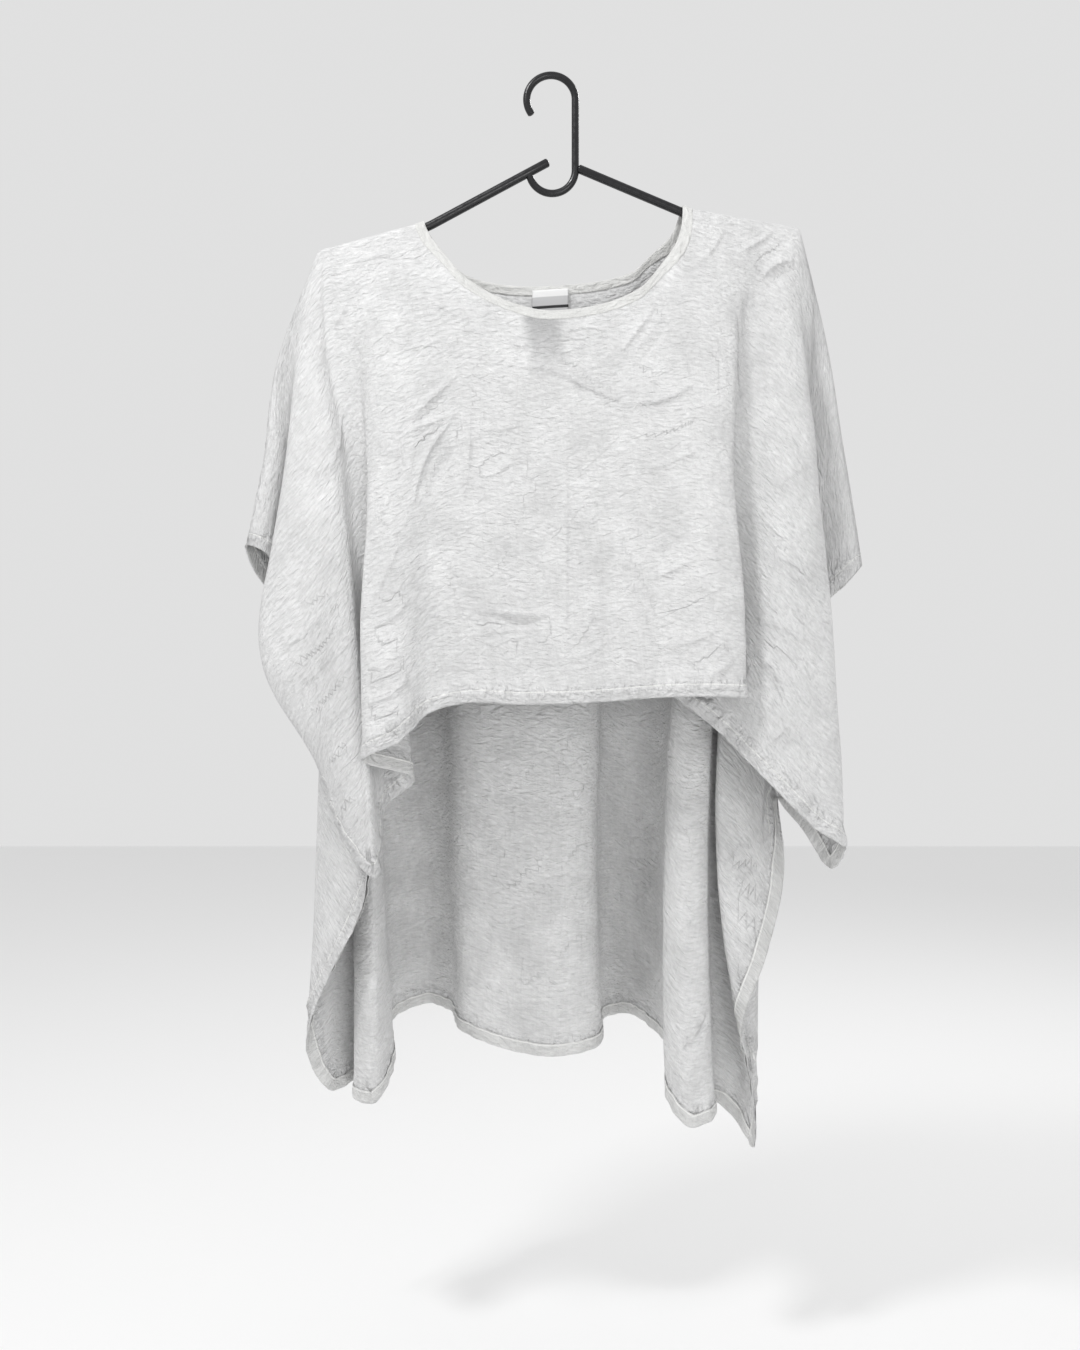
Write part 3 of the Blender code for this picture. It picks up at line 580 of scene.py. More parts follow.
class Drape:
    """Middle surface of a panel, by ring position q and distance v below the seam."""

    def __init__(self, side: Side) -> None:
        """Find the side's stretch of the ring and its fold lines' places.

        Args:
            side: which panel.
        """
        self.side = side.value
        self.sign = -1.0 if side is Side.FRONT else 1.0
        k, c = RING.knot, RING.corner
        self.span = (0.0, k[c]) if side is Side.FRONT else (k[c], k[-1])
        rows = FRONT_FOLDS if side is Side.FRONT else BACK_FOLDS[::-1]
        knots = k[: c + 1] if side is Side.FRONT else k[c:]
        self.place = dict(zip([r[0] for r in rows], knots))

    def lines(self, q: Array) -> dict[str, Array]:
        """Every figure of the lines, blended from the fold table.

        Args:
            q: ring positions.

        Returns:
            Arrays by name.
        """
        w, s = RING.blend(q), RING.seam_at(q)
        seam, turn = seam_points(np.clip(s, -TIP - CAP, TIP + CAP))
        end, bow, late = w @ RING.end, w @ RING.bow, np.maximum(w @ RING.late, 1.0)
        near = smooth((np.abs(s) - TIP + TIP_BLEND) / TIP_BLEND)[:, None]
        out = np.where(s < 0, -CONE[0], CONE[1]) * np.sin(turn)
        cone = np.stack([seam[:, 0] + out, self.sign * CONE[2] * np.cos(turn), end[:, 2]], -1)
        return {"seam": seam, "end": end, "bow": bow, "late": late, "turn": turn, "s": s,
                "length": np.linalg.norm(end - seam, axis=-1), "cone": (cone - end) * near, "near": near}

    def points(self, q: Array, v: Array, lines: dict[str, Array] | None = None) -> Array:
        """Points of the cloth.

        Each line runs from the seam to its end as a chord with a bow t(1 - t^late);
        near a tip it starts as a cone.  Over the arm the cloth follows the tube,
        and beside a seam it stays on its own side of the parting surface.

        Args:
            q: ring positions.
            v: distances below the seam, as many.
            lines: figures of the lines, where they are known.

        Returns:
            Points in millimetres.
        """
        f = lines or self.lines(q)
        t, late = (v / f["length"])[:, None], f["late"][:, None]
        top = late / (late + 1) * (1 / (late + 1)) ** (1 / late)
        lift = t * (1 - np.abs(t) ** late) / top
        wait = 1 - smooth((v - ONSET[0]) / (ONSET[1] - ONSET[0]))[:, None]
        p = f["seam"] * (1 - t) + f["end"] * t + lift * f["bow"] * (1 - wait * f["near"])
        p += t * wait * f["cone"]
        angle = np.minimum(v, QUARTER) / WRAP
        fade = np.cos(f["turn"]) * (1 - np.clip(t[:, 0], 0, 1) ** 2)
        p[:, 1] += self.sign * WRAP * np.sin(angle) * fade
        p[:, 2] += (np.minimum(v, QUARTER) - rise(np.abs(f["s"])) * (1 - np.cos(angle))) * fade
        room = (WALL + GAP) / 2 * smooth(self.inside(q) / ROOM[0]) * smooth(v / ROOM[1])
        part = parting(p[:, 0], p[:, 2])
        off = self.sign * (p[:, 1] - part) - room
        p[:, 1] = part + self.sign * (GAP / 2 + room + (off + np.sqrt(off * off + 4 * room * room)) / 2)
        return p

    def inside(self, q: Array) -> Array:
        """How far ring positions lie from the nearer side seam."""
        return np.minimum(q - self.span[0], self.span[1] - q)

    def tangents(self, q: Array, v: Array) -> tuple[Array, Array, Array]:
        """Slopes of the cloth along q and v, and its outward normal.

        Args:
            q: ring positions.
            v: distances below the seam.

        Returns:
            The three, as rows of vectors.
        """
        q = np.clip(q, self.span[0] + CLEAR, self.span[1] - CLEAR)
        along = self.points(q + NUDGE, v) - self.points(q - NUDGE, v)
        down = self.points(q, v + NUDGE) - self.points(q, v - NUDGE)
        return along / (2 * NUDGE), down / (2 * NUDGE), unit(np.cross(down, along))

    def start(self, s: Array, grow: float) -> Array:
        """Distance below the seam where the cloth starts, an oval round the neck.

        Args:
            s: places along the seam.
            grow: how far outside the neck's own edge.

        Returns:
            Distances, zero outside the neck.
        """
        drop, left, right = NECK[self.side]
        power = np.where(s < NECK_MID, left, right)
        a = np.clip(np.abs(s - NECK_MID) / (NECK_HALF + grow), 0, 1)
        return (drop + grow) * (1 - a**power) ** (1 / power)

    def at(self, s: Array) -> Array:
        """Ring position whose line leaves the seam at s.

        Args:
            s: places along the seam, short of the tips.

        Returns:
            Ring positions.
        """
        q = np.linspace(*self.span, LOOKUP)
        along = RING.seam_at(q)
        keep = np.abs(along) < TIP - TIP_CLEAR
        order = np.argsort(along[keep])
        return np.interp(s, along[keep][order], q[keep][order])

    def flat(self, q: Array, v: Array) -> Array:
        """Place of points on the flat cut: straight lines from the seam to the cut's edge.

        Args:
            q: ring positions.
            v: distances below the seam.

        Returns:
            Places along the weft and down the warp.
        """
        wide, deep, _ = FLAT[self.side]
        left, right = sorted((self.place["corner_l"], self.place["corner_r"]))
        ring = np.array([self.span[0], left, right, self.span[1]])
        x = np.interp(q, ring, np.array([-1, -1, 1, 1]) * -self.sign * wide / 2)
        y = np.interp(q, ring, np.array([0.0, deep, deep, 0.0]))
        t = v / self.lines(q)["length"]
        return np.stack([RING.seam_at(q) * (1 - t) + x * t, y * t], -1)

    def inset(self, q: Array, v: Array, deep: float, steps: int = 3) -> tuple[Array, Array]:
        """Move from the lower edge squarely into the cloth.

        The way in is the part of the slope up the cloth that is square to the
        edge; each step solves for the q and v that go that way by a third.

        Args:
            q: ring positions on the edge.
            v: lengths of the lines there.
            deep: how far to go, in millimetres.
            steps: number of steps.

        Returns:
            Ring positions and distances below the seam.
        """
        edge = unit(np.gradient(self.points(q, v), axis=0))
        for _ in range(steps):
            a, d, n = self.tangents(q, v)
            way = np.cross(edge, n) * self.hand(q)
            aa, ad, dd = (a * a).sum(1), (a * d).sum(1), (d * d).sum(1)
            wa, wd = (way * a).sum(1), (way * d).sum(1)
            det = np.maximum(aa * dd - ad * ad, 1e-6)
            q = np.clip(q + deep / steps * np.clip((wa * dd - wd * ad) / det, -3, 3), *self.span)
            v = v + deep / steps * np.clip((wd * aa - wa * ad) / det, -3, 3)
        return q, v

    def hand(self, q: Array) -> float:
        """Sign that makes edge x normal point up into the cloth.

        Args:
            q: ring positions along the edge.

        Returns:
            1 or -1.
        """
        mid = np.array([q[len(q) // 2]])
        a, d, n = self.tangents(mid, self.lines(mid)["length"])
        return -1.0 if float((np.cross(a, n) * d).sum()) > 0 else 1.0


def grid_faces(rows: int, columns: int, closed: bool = False) -> Array:
    """Quads of a grid, its last column joined to the first when closed.

    Args:
        rows: rows of points.
        columns: points in a row.
        closed: whether a row is a ring.

    Returns:
        Four corner numbers a quad.
    """
    r = np.arange(rows - 1)[:, None]
    c = np.arange(columns if closed else columns - 1)[None, :]
    a, b = r * columns + c, r * columns + (c + 1) % columns
    return np.stack([a, b, b + columns, a + columns], -1).reshape(-1, 4)


def join(parts: list[tuple[Array, Array]]) -> tuple[Array, Array]:
    """Points and quads of several surfaces as those of one mesh.

    Args:
        parts: points and quads of each.

    Returns:
        All points, and all quads with their numbers moved on.
    """
    starts = np.cumsum([0] + [len(p) for p, _ in parts])
    return np.concatenate([p for p, _ in parts]), np.concatenate([f + s for (_, f), s in zip(parts, starts)])


def new_piece(name: str, points: Array, faces: Array, material: bpy.types.Material,
              uv: Array | None = None, marks: dict[str, Array] | None = None) -> bpy.types.Object:
    """Mesh object at the origin from points in millimetres, its seams and poles welded.

    Args:
        name: name of the piece.
        points: corners.
        faces: quads as rows of four corners.
        material: its finish.
        uv: place of each corner on the flat cloth.
        marks: named values, one for each corner.

    Returns:
        The object, linked and smooth.
    """
    mesh = bpy.data.meshes.new(name)
    mesh.vertices.add(len(points))
    mesh.vertices.foreach_set("co", (points * MM).astype(np.float32).ravel())
    mesh.loops.add(faces.size)
    mesh.loops.foreach_set("vertex_index", faces.astype(np.int32).ravel())
    mesh.polygons.add(len(faces))
    mesh.polygons.foreach_set("loop_start", np.arange(0, faces.size, 4, dtype=np.int32))
    mesh.update(calc_edges=True)
    mesh.polygons.foreach_set("use_smooth", np.ones(len(faces), bool))
    if uv is not None:
        layer = mesh.uv_layers.new(name="flat")
        layer.data.foreach_set("uv", (uv * MM)[faces.ravel()].astype(np.float32).ravel())
    for key, values in (marks or {}).items():
        mesh.attributes.new(key, "FLOAT", "POINT").data.foreach_set("value", values.astype(np.float32))
    clean = bmesh.new()
    clean.from_mesh(mesh)
    bmesh.ops.remove_doubles(clean, verts=clean.verts, dist=1e-6)
    clean.to_mesh(mesh)
    clean.free()
    obj = bpy.data.objects.new(name, mesh)
    bpy.context.scene.collection.objects.link(obj)
    mesh.materials.append(material)
    return obj


def thicken(obj: bpy.types.Object, wall: float) -> None:
    """Give a sheet its thickness, both ways from its middle.

    Args:
        obj: the sheet.
        wall: thickness in millimetres.
    """
    mod = obj.modifiers.new("wall", "SOLIDIFY")
    mod.thickness, mod.offset = wall * MM, 0.0
    mod.use_quality_normals = True


@dataclass(frozen=True)
class Stitch:
    """One kind of stitch: a short barrel of thread on each face of the cloth."""

    half: float                        # half its length
    body: float                        # half the length of its thick part
    radius: float
    pitch: float
    margin: float                      # left free at both ends of a line
    heights: tuple[float, float]       # over the cloth's middle, outside and inside

    def row(self, centre: Array, normal: Array) -> tuple[Array, Array]:
        """Stitches along a line on the cloth.

        A barrel has four rings of six points along the line, with 0, 0.8, 0.8 and 0
        of the thread's radius, so both of its ends close in a point.

        Args:
            centre: points of the line, in the middle of the cloth.
            normal: outward normals there.

        Returns:
            Points and quads.
        """
        arc = path_length(centre)
        where = np.arange(self.margin, arc[-1] - self.margin, self.pitch)
        here, ahead, out = (np.stack([np.interp(at, arc, a[:, i]) for i in range(3)], -1)
                            for at, a in ((where, centre), (where + 0.8, centre), (where, normal)))
        ahead, out = unit(ahead - here), unit(out)
        turn = np.arange(6) * math.pi / 3
        wheel = np.cross(out, ahead)[:, None] * np.cos(turn)[:, None] + out[:, None] * np.sin(turn)[:, None]
        along = np.array([-self.half, -self.body, self.body, self.half])[:, None, None]
        size = self.radius * np.array([0.0, 0.8, 0.8, 0.0])[:, None, None]
        barrel = ahead[:, None, None] * along + wheel[:, None] * size
        points = np.concatenate([(here + out * h)[:, None, None] + barrel for h in self.heights])
        faces = grid_faces(4, 6, closed=True) + 24 * np.arange(len(points))[:, None, None]
        return points.reshape(-1, 3), faces.reshape(-1, 4)

    def piece(self, name: str, rows: list[tuple[Array, Array]],
              thread: bpy.types.Material) -> bpy.types.Object:
        """All rows as one piece of one plain tone."""
        points, faces = join(rows)
        return new_piece(name, points, faces, thread, np.zeros((len(points), 2)))


HEM_STITCH = Stitch(half=1.25, body=0.625, radius=0.22, pitch=3.4, margin=3.4, heights=(0.36, -1.25))
BAND_STITCH = Stitch(half=1.1, body=0.5, radius=0.2, pitch=3.0, margin=2.0, heights=(0.78, -0.78))


class Nodes:
    """A material's nodes while they are joined."""

    def __init__(self, name: str) -> None:
        """Start from a new material with its standard shader.

        Args:
            name: what the real material is.
        """
        self.material = bpy.data.materials.new(name)
        self.material.use_nodes = True
        self.tree = self.material.node_tree
        self.shader = self.tree.nodes["Principled BSDF"]

    def add(self, kind: str, inputs: dict[Any, Any] | tuple = (), out: int | str = 0, **settings: Any) -> Any:
        """Add a node with its settings and links.

        Args:
            kind: Blender's node type after the word that all of them start with.
            inputs: a value or another node's output for each socket, in order or by key.
            out: which of its outputs is wanted.
            settings: the node's own properties.

        Returns:
            That output.
        """
        node = self.tree.nodes.new("ShaderNode" + kind)
        for key, value in settings.items():
            setattr(node, key, value)
        for key, value in (inputs.items() if isinstance(inputs, dict) else enumerate(inputs)):
            if isinstance(value, bpy.types.NodeSocket):
                self.tree.links.new(value, node.inputs[key])
            else:
                node.inputs[key].default_value = value
        return node.outputs[out]

    def dress(self, links: dict[str, Any], constants: dict[str, Any]) -> bpy.types.Material:
        """Join outputs to the shader's sockets and set its constants.

        Args:
            links: output for each socket.
            constants: value for each socket.

        Returns:
            The finished material.
        """
        for key, value in links.items():
            self.tree.links.new(value, self.shader.inputs[key])
        for key, value in constants.items():
            self.shader.inputs[key].default_value = value
        return self.material


class ClothNodes(Nodes):
    """Nodes of woven cloth, over the piece's flat map."""

    def __init__(self, name: str, finish: ClothFinish) -> None:
        """Lay out the noises, and the distance to the stitches where there are some.

        Args:
            name: what the real material is.
            finish: its figures.
        """
        super().__init__(name)
        self.finish = finish
        self.uv = self.add("UVMap", uv_map="flat")
        self.soft = self.add("TexNoise", {"Vector": self.uv, "Scale": PATCHES, "Detail": 3.0})
        self.grain = {}
        for key, along, across, turn, detail, rough in GRAIN:
            place = self.add("Mapping", {0: self.uv, "Scale": (along * MM, across * MM, 1.0),
                                         "Rotation": (0.0, 0.0, turn)}, vector_type="TEXTURE")
            self.grain[key] = self.add("TexNoise", {"Vector": place, "Scale": 1.0, "Detail": detail,
                                                    "Roughness": rough, "Distortion": 0.35})
        if finish.sewn:
            self.edge = self.add("Attribute", out="Fac", attribute_name="edge")
            off = self.add("Math", (self.edge, SEWN), operation="SUBTRACT")
            self.line = self.add("Math", (off,), operation="ABSOLUTE")

    def tone(self) -> Any:
        """Colour between lit and shaded, by a weighted sum of the noises.

        Slubs and uneven warp threads are the cloth's own tone; the fine crinkle, which
        the relief shares, and the soft patches are painted shade in hollows and painted
        highlights on crests.

        Returns:
            The colour.
        """
        grain, tone = self.grain, -0.05
        # slubs and warp threads: the cloth's own tone; soft patches and fine crinkle: painted shade and
        # highlights
        for part, share in ((grain["slub"], 0.2), (self.soft, 0.36),
                            (grain["fine"], 0.44), (grain["ends"], 0.1)):
            tone = self.add("Math", (part, share, tone), operation="MULTIPLY_ADD")
        light = self.add("MapRange", (tone, 0.38, 0.68, 0.0, 1.0))
        ends = {6: linear(self.finish.shaded), 7: linear(self.finish.lit)}
        return self.add("Mix", {0: light, **ends}, 2, data_type="RGBA")

    def shaded(self, colour: Any) -> Any:
        """Colour with a painted shadow of the label behind, seen through the cloth, softly bounded and fading
        downwards.

        Args:
            colour: the cloth's own.

        Returns:
            The colour.
        """
        left, right, top, bottom = (at * MM for at in SHADE)
        u, v = (self.add("SeparateXYZ", (self.uv,), at) for at in (0, 1))
        off = self.add("Math", (u, (left + right) / 2), operation="SUBTRACT")
        off = self.add("Math", (off,), operation="ABSOLUTE")
        across = self.add("Math", (off, -2 / (right - left), 1.0), operation="MULTIPLY_ADD")
        beside = self.add("MapRange", (across, -0.3, 0.5, 0.0, 1.0), interpolation_type="SMOOTHSTEP")
        down = self.add("MapRange", (v, top, bottom, 0.6, 0.0))
        dim = self.add("Math", (beside, down), operation="MULTIPLY")
        # painted shadow of the label: grey between its sides, fading downwards
        return self.add("Mix", {0: dim, 6: colour, 7: linear(SHADE_GREY)}, 2, data_type="RGBA")

    def threaded(self, colour: Any) -> Any:
        """Colour with the bright line of thread between two stitches.

        Args:
            colour: the cloth's own.

        Returns:
            The colour.
        """
        thread = self.add("MapRange", (self.line, 0.35, 0.75, 0.85, 0.0))
        return self.add("Mix", {0: thread, 6: colour, 7: linear(THREAD.lit)}, 2, data_type="RGBA")

    def relief(self) -> Any:
        """Height of weave, slubs and crinkles, a weighted sum.

        The weave is a product of two sines.  A sharp crinkle lies where two
        slanting noises are equal, as their difference without its sign has an
        edge there; a slow noise makes it deeper in patches.

        Returns:
            The height in metres.
        """
        grain, finish, waves = self.grain, self.finish, []
        for at in (0, 1):
            place = self.add("SeparateXYZ", (self.uv,), at)
            turn = self.add("Math", (place, 2 * math.pi / (THREAD_STEP * MM)), operation="MULTIPLY")
            waves.append(self.add("Math", (turn,), operation="SINE"))
        weave = self.add("Math", tuple(waves), operation="MULTIPLY")
        apart = self.add("Math", (grain["crinkle"], grain["crossed"]), operation="SUBTRACT")
        sharp = self.add("Math", (apart,), operation="ABSOLUTE")
        patch = self.add("MapRange", (self.soft, 0.36, 0.64, -0.6 * finish.crinkle, -2.1 * finish.crinkle))
        height = 0.0
        for part, share in ((grain["slub"], finish.slub), (weave, finish.weave), (sharp, patch),
                            (grain["crinkle"], finish.crinkle), (grain["crossed"], finish.crinkle),
                            (grain["fine"], finish.crinkle * 1.5)):
            height = self.add("Math", (part, share, height), operation="MULTIPLY_ADD")
        return height

    def gathered(self, height: Any) -> Any:
        """Height with the crests of the listed creases, gathers and the sewn groove.

        A crest is steep below its line and soft above it.  Gathers are a noise
        across the hem, and both gathers and groove fade with the distance to
        the stitches.

        Args:
            height: the cloth's own.

        Returns:
            The height in metres.
        """
        fold, crest, run = (self.add("Attribute", out="Fac", attribute_name=key)
                            for key in ("fold", "crest", "run"))
        upper = self.add("MapRange", (fold, 0.0, 7.0, 0.0011, 0.0))
        lower = self.add("MapRange", (fold, -2.2, 0.0, 0.0, 1.0))
        ridge = self.add("Math", (upper, lower), operation="MULTIPLY")
        place = self.add("CombineXYZ", tuple(self.add("Math", (at, scale), operation="MULTIPLY")
                                             for at, scale in zip((run, self.edge), GATHERS)))
        gather = self.add("TexNoise", {"Vector": place, "Scale": 1.0, "Detail": 2.0})
        near = self.add("MapRange", (self.line, 1.0, 11.0, 0.0075, 0.0), interpolation_type="SMOOTHSTEP")
        groove = self.add("MapRange", (self.line, 0.0, 1.8, -0.0007, 0.0), interpolation_type="SMOOTHSTEP")
        for part, share in ((ridge, crest), (gather, near), (groove, 1.0)):
            height = self.add("Math", (part, share, height), operation="MULTIPLY_ADD")
        return height


def cloth_material(name: str, finish: ClothFinish, painted_label_shadow: bool = False) -> bpy.types.Material:
    """Woven cloth, with its sewn line and creases where the finish has them.

    Args:
        name: what the real material is.
        finish: its figures.
        painted_label_shadow: whether the label behind shows through as a painted shadow.

    Returns:
        The material.
    """
    n = ClothNodes(name, finish)
    colour, height = n.tone(), n.relief()
    if painted_label_shadow:
        colour = n.shaded(colour)
    if finish.sewn:
        colour = n.threaded(colour)
    if finish.creased:
        height = n.gathered(height)
    bump = n.add("Bump", {"Strength": 1.0, "Distance": 1.0, "Height": height})
    return n.dress({"Base Color": colour, "Normal": bump},
                   {"Roughness": finish.roughness, "Specular IOR Level": 0.22, "Sheen Weight": 0.18,
                    "Sheen Roughness": 0.5})


def tape_material(name: str, finish: TapeFinish) -> bpy.types.Material:
    """Satin tape: white above, grey below, with a thin dark line and fine ribs.

    Args:
        name: the material's name.
        finish: its figures.

    Returns:
        The material.
    """
    n = Nodes(name)
    down = n.add("SeparateXYZ", (n.add("UVMap", uv_map="flat"),), 1)
    grey = n.add("MapRange", (down, TAPE_GREY[0] * MM, TAPE_GREY[1] * MM, 0.0, 1.0))
    colour = n.add("Mix", {0: grey, 6: linear(finish.white), 7: linear(finish.grey)}, 2, data_type="RGBA")
    middle, half, soft = (at * MM for at in TAPE_LINE)
    off = n.add("Math", (down, middle), operation="SUBTRACT")
    off = n.add("Math", (off,), operation="ABSOLUTE")
    dark = n.add("MapRange", (off, half, soft, 1.0, 0.0))
    colour = n.add("Mix", {0: dark, 6: colour, 7: linear(finish.line)}, 2, data_type="RGBA")
    turn = n.add("Math", (down, 2 * math.pi / (RIB_STEP * MM)), operation="MULTIPLY")
    ribs = n.add("Math", (turn,), operation="SINE")
    height = n.add("Math", (ribs, finish.rib), operation="MULTIPLY")
    bump = n.add("Bump", {"Strength": 1.0, "Distance": 1.0, "Height": height})
    return n.dress({"Base Color": colour, "Normal": bump}, {"Roughness": finish.roughness})


def plastic_material(name: str, finish: PlasticFinish) -> bpy.types.Material:
    """Moulded plastic with a faint mottle in its gloss.

    Args:
        name: the material's name.
        finish: its figures.

    Returns:
        The material.
    """
    n = Nodes(name)
    place = n.add("TexCoord", out="Object")
    mottle = n.add("TexNoise", {"Vector": place, "Scale": MOTTLE, "Detail": 4.0})
    low, high = finish.roughness - finish.mottle, finish.roughness + finish.mottle
    gloss = n.add("MapRange", (mottle, 0.3, 0.7, low, high))
    colour = n.add("Mix", {0: mottle, 6: linear(finish.colour), 7: linear(finish.worn)}, 2, data_type="RGBA")
    height = n.add("Math", (mottle, 0.00004), operation="MULTIPLY")
    bump = n.add("Bump", {"Strength": 1.0, "Distance": 1.0, "Height": height})
    return n.dress({"Base Color": colour, "Roughness": gloss, "Normal": bump}, {})


@dataclass
class Panel:
    """A front or back panel: its sheet, turned hems and stitching."""

    side: Side
    linen: bpy.types.Material
    turned: bpy.types.Material
    thread: bpy.types.Material
    columns: int
    rows: int
    head: tuple[float, ...] = (0.0, 1.2, 2.6, 4.2, 6.0, 8.0, 11.0, 15.0)   # upper rows, from the seam or neck
    tail: tuple[float, ...] = (14.0, 11.6, 10.2, 8.6, 5.0, 1.6, 0.0)       # lower rows, from the edge
    wall: float = 0.7
    turned_wall: float = 0.5
    held: tuple[float, float] = (22.0, 14.0)   # stretches beside a seam and round the neck, held still
    samples: tuple[float, int] = (2.0, 36)     # places along an edge: step, and how many each way are tried
    turned_step: float = 3.0                   # places along an edge for the turned hem
    sewn_step: float = 1.0                     # and for the stitches
    turned_section: tuple[tuple[float, float], ...] = (
        # distance from the edge, depth under the sheet's middle
        (0.0, 0.25), (0.7, 0.8), (2.4, 1.0), (5.2, 1.05), (8.0, 1.0), (9.6, 0.9), (10.2, 0.82), (10.9, 0.9),
        (11.3, 0.6),
    )
    puckers: tuple[tuple[float, float, float], ...] = (
        # wavelength, phase, height
        (31.0, 0.4, 0.30),
        (19.3, 1.9, 0.42),
        (13.7, 4.1, 0.34),
        (53.0, 2.2, 0.25),
    )
    drape: Drape = field(init=False)

    def __post_init__(self) -> None:
        """Set up the drape of this side."""
        self.drape = Drape(self.side)

    def edges(self, step: float) -> list[tuple[Array, Array]]:
        """Turned parts of the lower edge: the two cuffs, and the hem with both slits.

        Args:
            step: about how far apart the places are.

        Returns:
            Ring positions and line lengths along each, in the ring's order.
        """
        ends = (("sleeve_seam_l", "underarm_l"), ("slit_top_l", "slit_top_r"),
                ("underarm_r", "sleeve_seam_r"))
        place = [sorted((self.drape.place[a], self.drape.place[b])) for a, b in ends]
        rings = [np.linspace(a, b, max(4, round((b - a) / step))) for a, b in sorted(place)]
        return [(q, self.drape.lines(q)["length"]) for q in rings]

    def from_edge(self, points: Array, q: Array) -> tuple[Array, Array]:
        """Distance of grid points to the nearest turned edge, and where it is.

        Every point is measured against the edge samples whose ring position is
        near its own; the least distance counts.

        Args:
            points: grid points, rows x columns x 3.
            q: ring positions of the columns.

        Returns:
            Distances, and ring positions of the nearest samples.
        """
        step, reach = self.samples
        best = np.full(points.shape[:2], 999.0)
        where = np.broadcast_to(q, best.shape).copy()
        for at, length in self.edges(step):
            samples = self.drape.points(at, length)
            centre = np.searchsorted(at, q).clip(0, len(at) - 1)
            for hop in range(-reach, reach + 1):
                i = (centre + hop).clip(0, len(at) - 1)
                apart = np.linalg.norm(points - samples[i][None], axis=2)
                where = np.where(apart < best, at[i][None], where)
                best = np.minimum(apart, best)
        return best, where

    def crease(self, flat: Array) -> tuple[Array, Array, Array]:
        """All listed creases at flat places.

        Each is a soft ridge or trough along an arc between two places: across it
        a rounded bell, steeper on one side, along it thick in the middle and gone
        at both ends.  The hidden upper back has creases like the front's, mirrored
        and moved.

        Args:
            flat: places in the flat cloth.

        Returns:
            Height of the cloth, distance to the strongest crease's crest, and the
            height of that crest.
        """
        out, fold, crest, strongest = (np.zeros(flat.shape[:-1]) for _ in range(4))
        rows = list(CREASES[self.side.value])
        if self.side is Side.BACK:
            mirror, shift, limit, share = MIRRORED
            rows += [(mirror - u0, v0 + shift, mirror - u1, v1 + shift, -bend, width, share * height)
                     for u0, v0, u1, v1, bend, width, height in CREASES["front"] if max(v0, v1) < limit]
        for u0, v0, u1, v1, bend, width, height in rows:
            run = np.array([u1 - u0, v1 - v0], float)
            long = np.linalg.norm(run)
            run /= long
            rel = flat - (u0, v0)
            t = (rel @ run) / long
            upper = 1.0 if 0.6 * run[1] > 0.8 * run[0] else -1.0
            across = upper * (rel @ np.array([-run[1], run[0]]) - bend * 4 * t * (1 - t))
            ends = np.clip(4 * t * (1 - t), 0, 1) ** 0.7 * ((t > 0) & (t < 1))
            skew = np.where(across > 0, 1.0, CREASE_STEEP)
            out += CREASE_GAIN * height * ends * np.exp(-(across / (width * skew)) ** 2)
            reach = abs(height) * ends * np.exp(-(across / CREST_REACH) ** 2)
            nearer = reach > strongest
            fold, crest = np.where(nearer, across, fold), np.where(nearer, height * ends, crest)
            strongest = np.maximum(reach, strongest)
        return out, fold, crest

    def relax(self, q: Array, v: Array, p: Array, loose: Array) -> Array:
        """Round the fold lines near the shoulders.

        Each point is averaged with the points beside it at the same depth, under
        a bell, fully near the shoulders and less and less downwards.

        Args:
            q: ring positions of the columns.
            v: depths, rows x columns.
            p: the points there.
            loose: share of the movement that each point may take.

        Returns:
            The rounded points.
        """
        wide, deep, fade = ROUNDING[self.side.value]
        ease = loose * smooth(self.drape.inside(q) / (2.4 * wide)) * (1 - smooth((v - deep) / fade))
        mean, total = np.zeros_like(p), 0.0
        for step in np.linspace(-1.8, 1.8, 21) * wide:
            beside = np.clip(q + step, *self.drape.span)
            lines = self.drape.lines(beside)
            weight = math.exp(-(step / wide) ** 2)
            mean += weight * np.stack([self.drape.points(beside, row, lines) for row in v])
            total += weight
        return p + ease[..., None] * (mean / total - p)

    def soft_lift(self, flat: Array, edge: Array, where: Array, v: Array, crease: Array) -> Array:
        """Movement along the normal: creases, uneven slack and puckers at the hems.

        The slack is two products of slow sines that bend each other, gone at the
        seam and at the edge.  Puckers are full over the turned layers, where the
        sheet also lies higher, and fade inwards.

        Args:
            flat: places in the flat cloth.
            edge: distances to the turned edge.
            where: ring positions of the nearest places on it.
            v: depths.
            crease: height of the creases.

        Returns:
            Heights in millimetres.
        """
        u, w = flat[..., 0], flat[..., 1]
        slack = (0.55 * np.sin(u / 31 + 1.3 * np.sin(w / 58)) * np.sin(w / 47 + 0.9 * np.sin(u / 77) + 0.6)
                 + 0.35 * np.sin(u / 17 + w / 39 + 2.1 * np.sin(w / 95)) * np.sin(w / 23 - u / 140))
        pucker = wander(where, self.puckers) * np.exp(-np.clip(edge - 9, 0, None) / 9)
        pucker = pucker * smooth(1.3 - edge / 60)
        turned = 0.55 * (1 - smooth((edge - 9.4) / 2.4))
        return (slack * smooth((v - 12) / 60) * smooth(edge / 40) * 0.8 + 1.5 * pucker + turned
                + crease * smooth((v - 6) / 14))

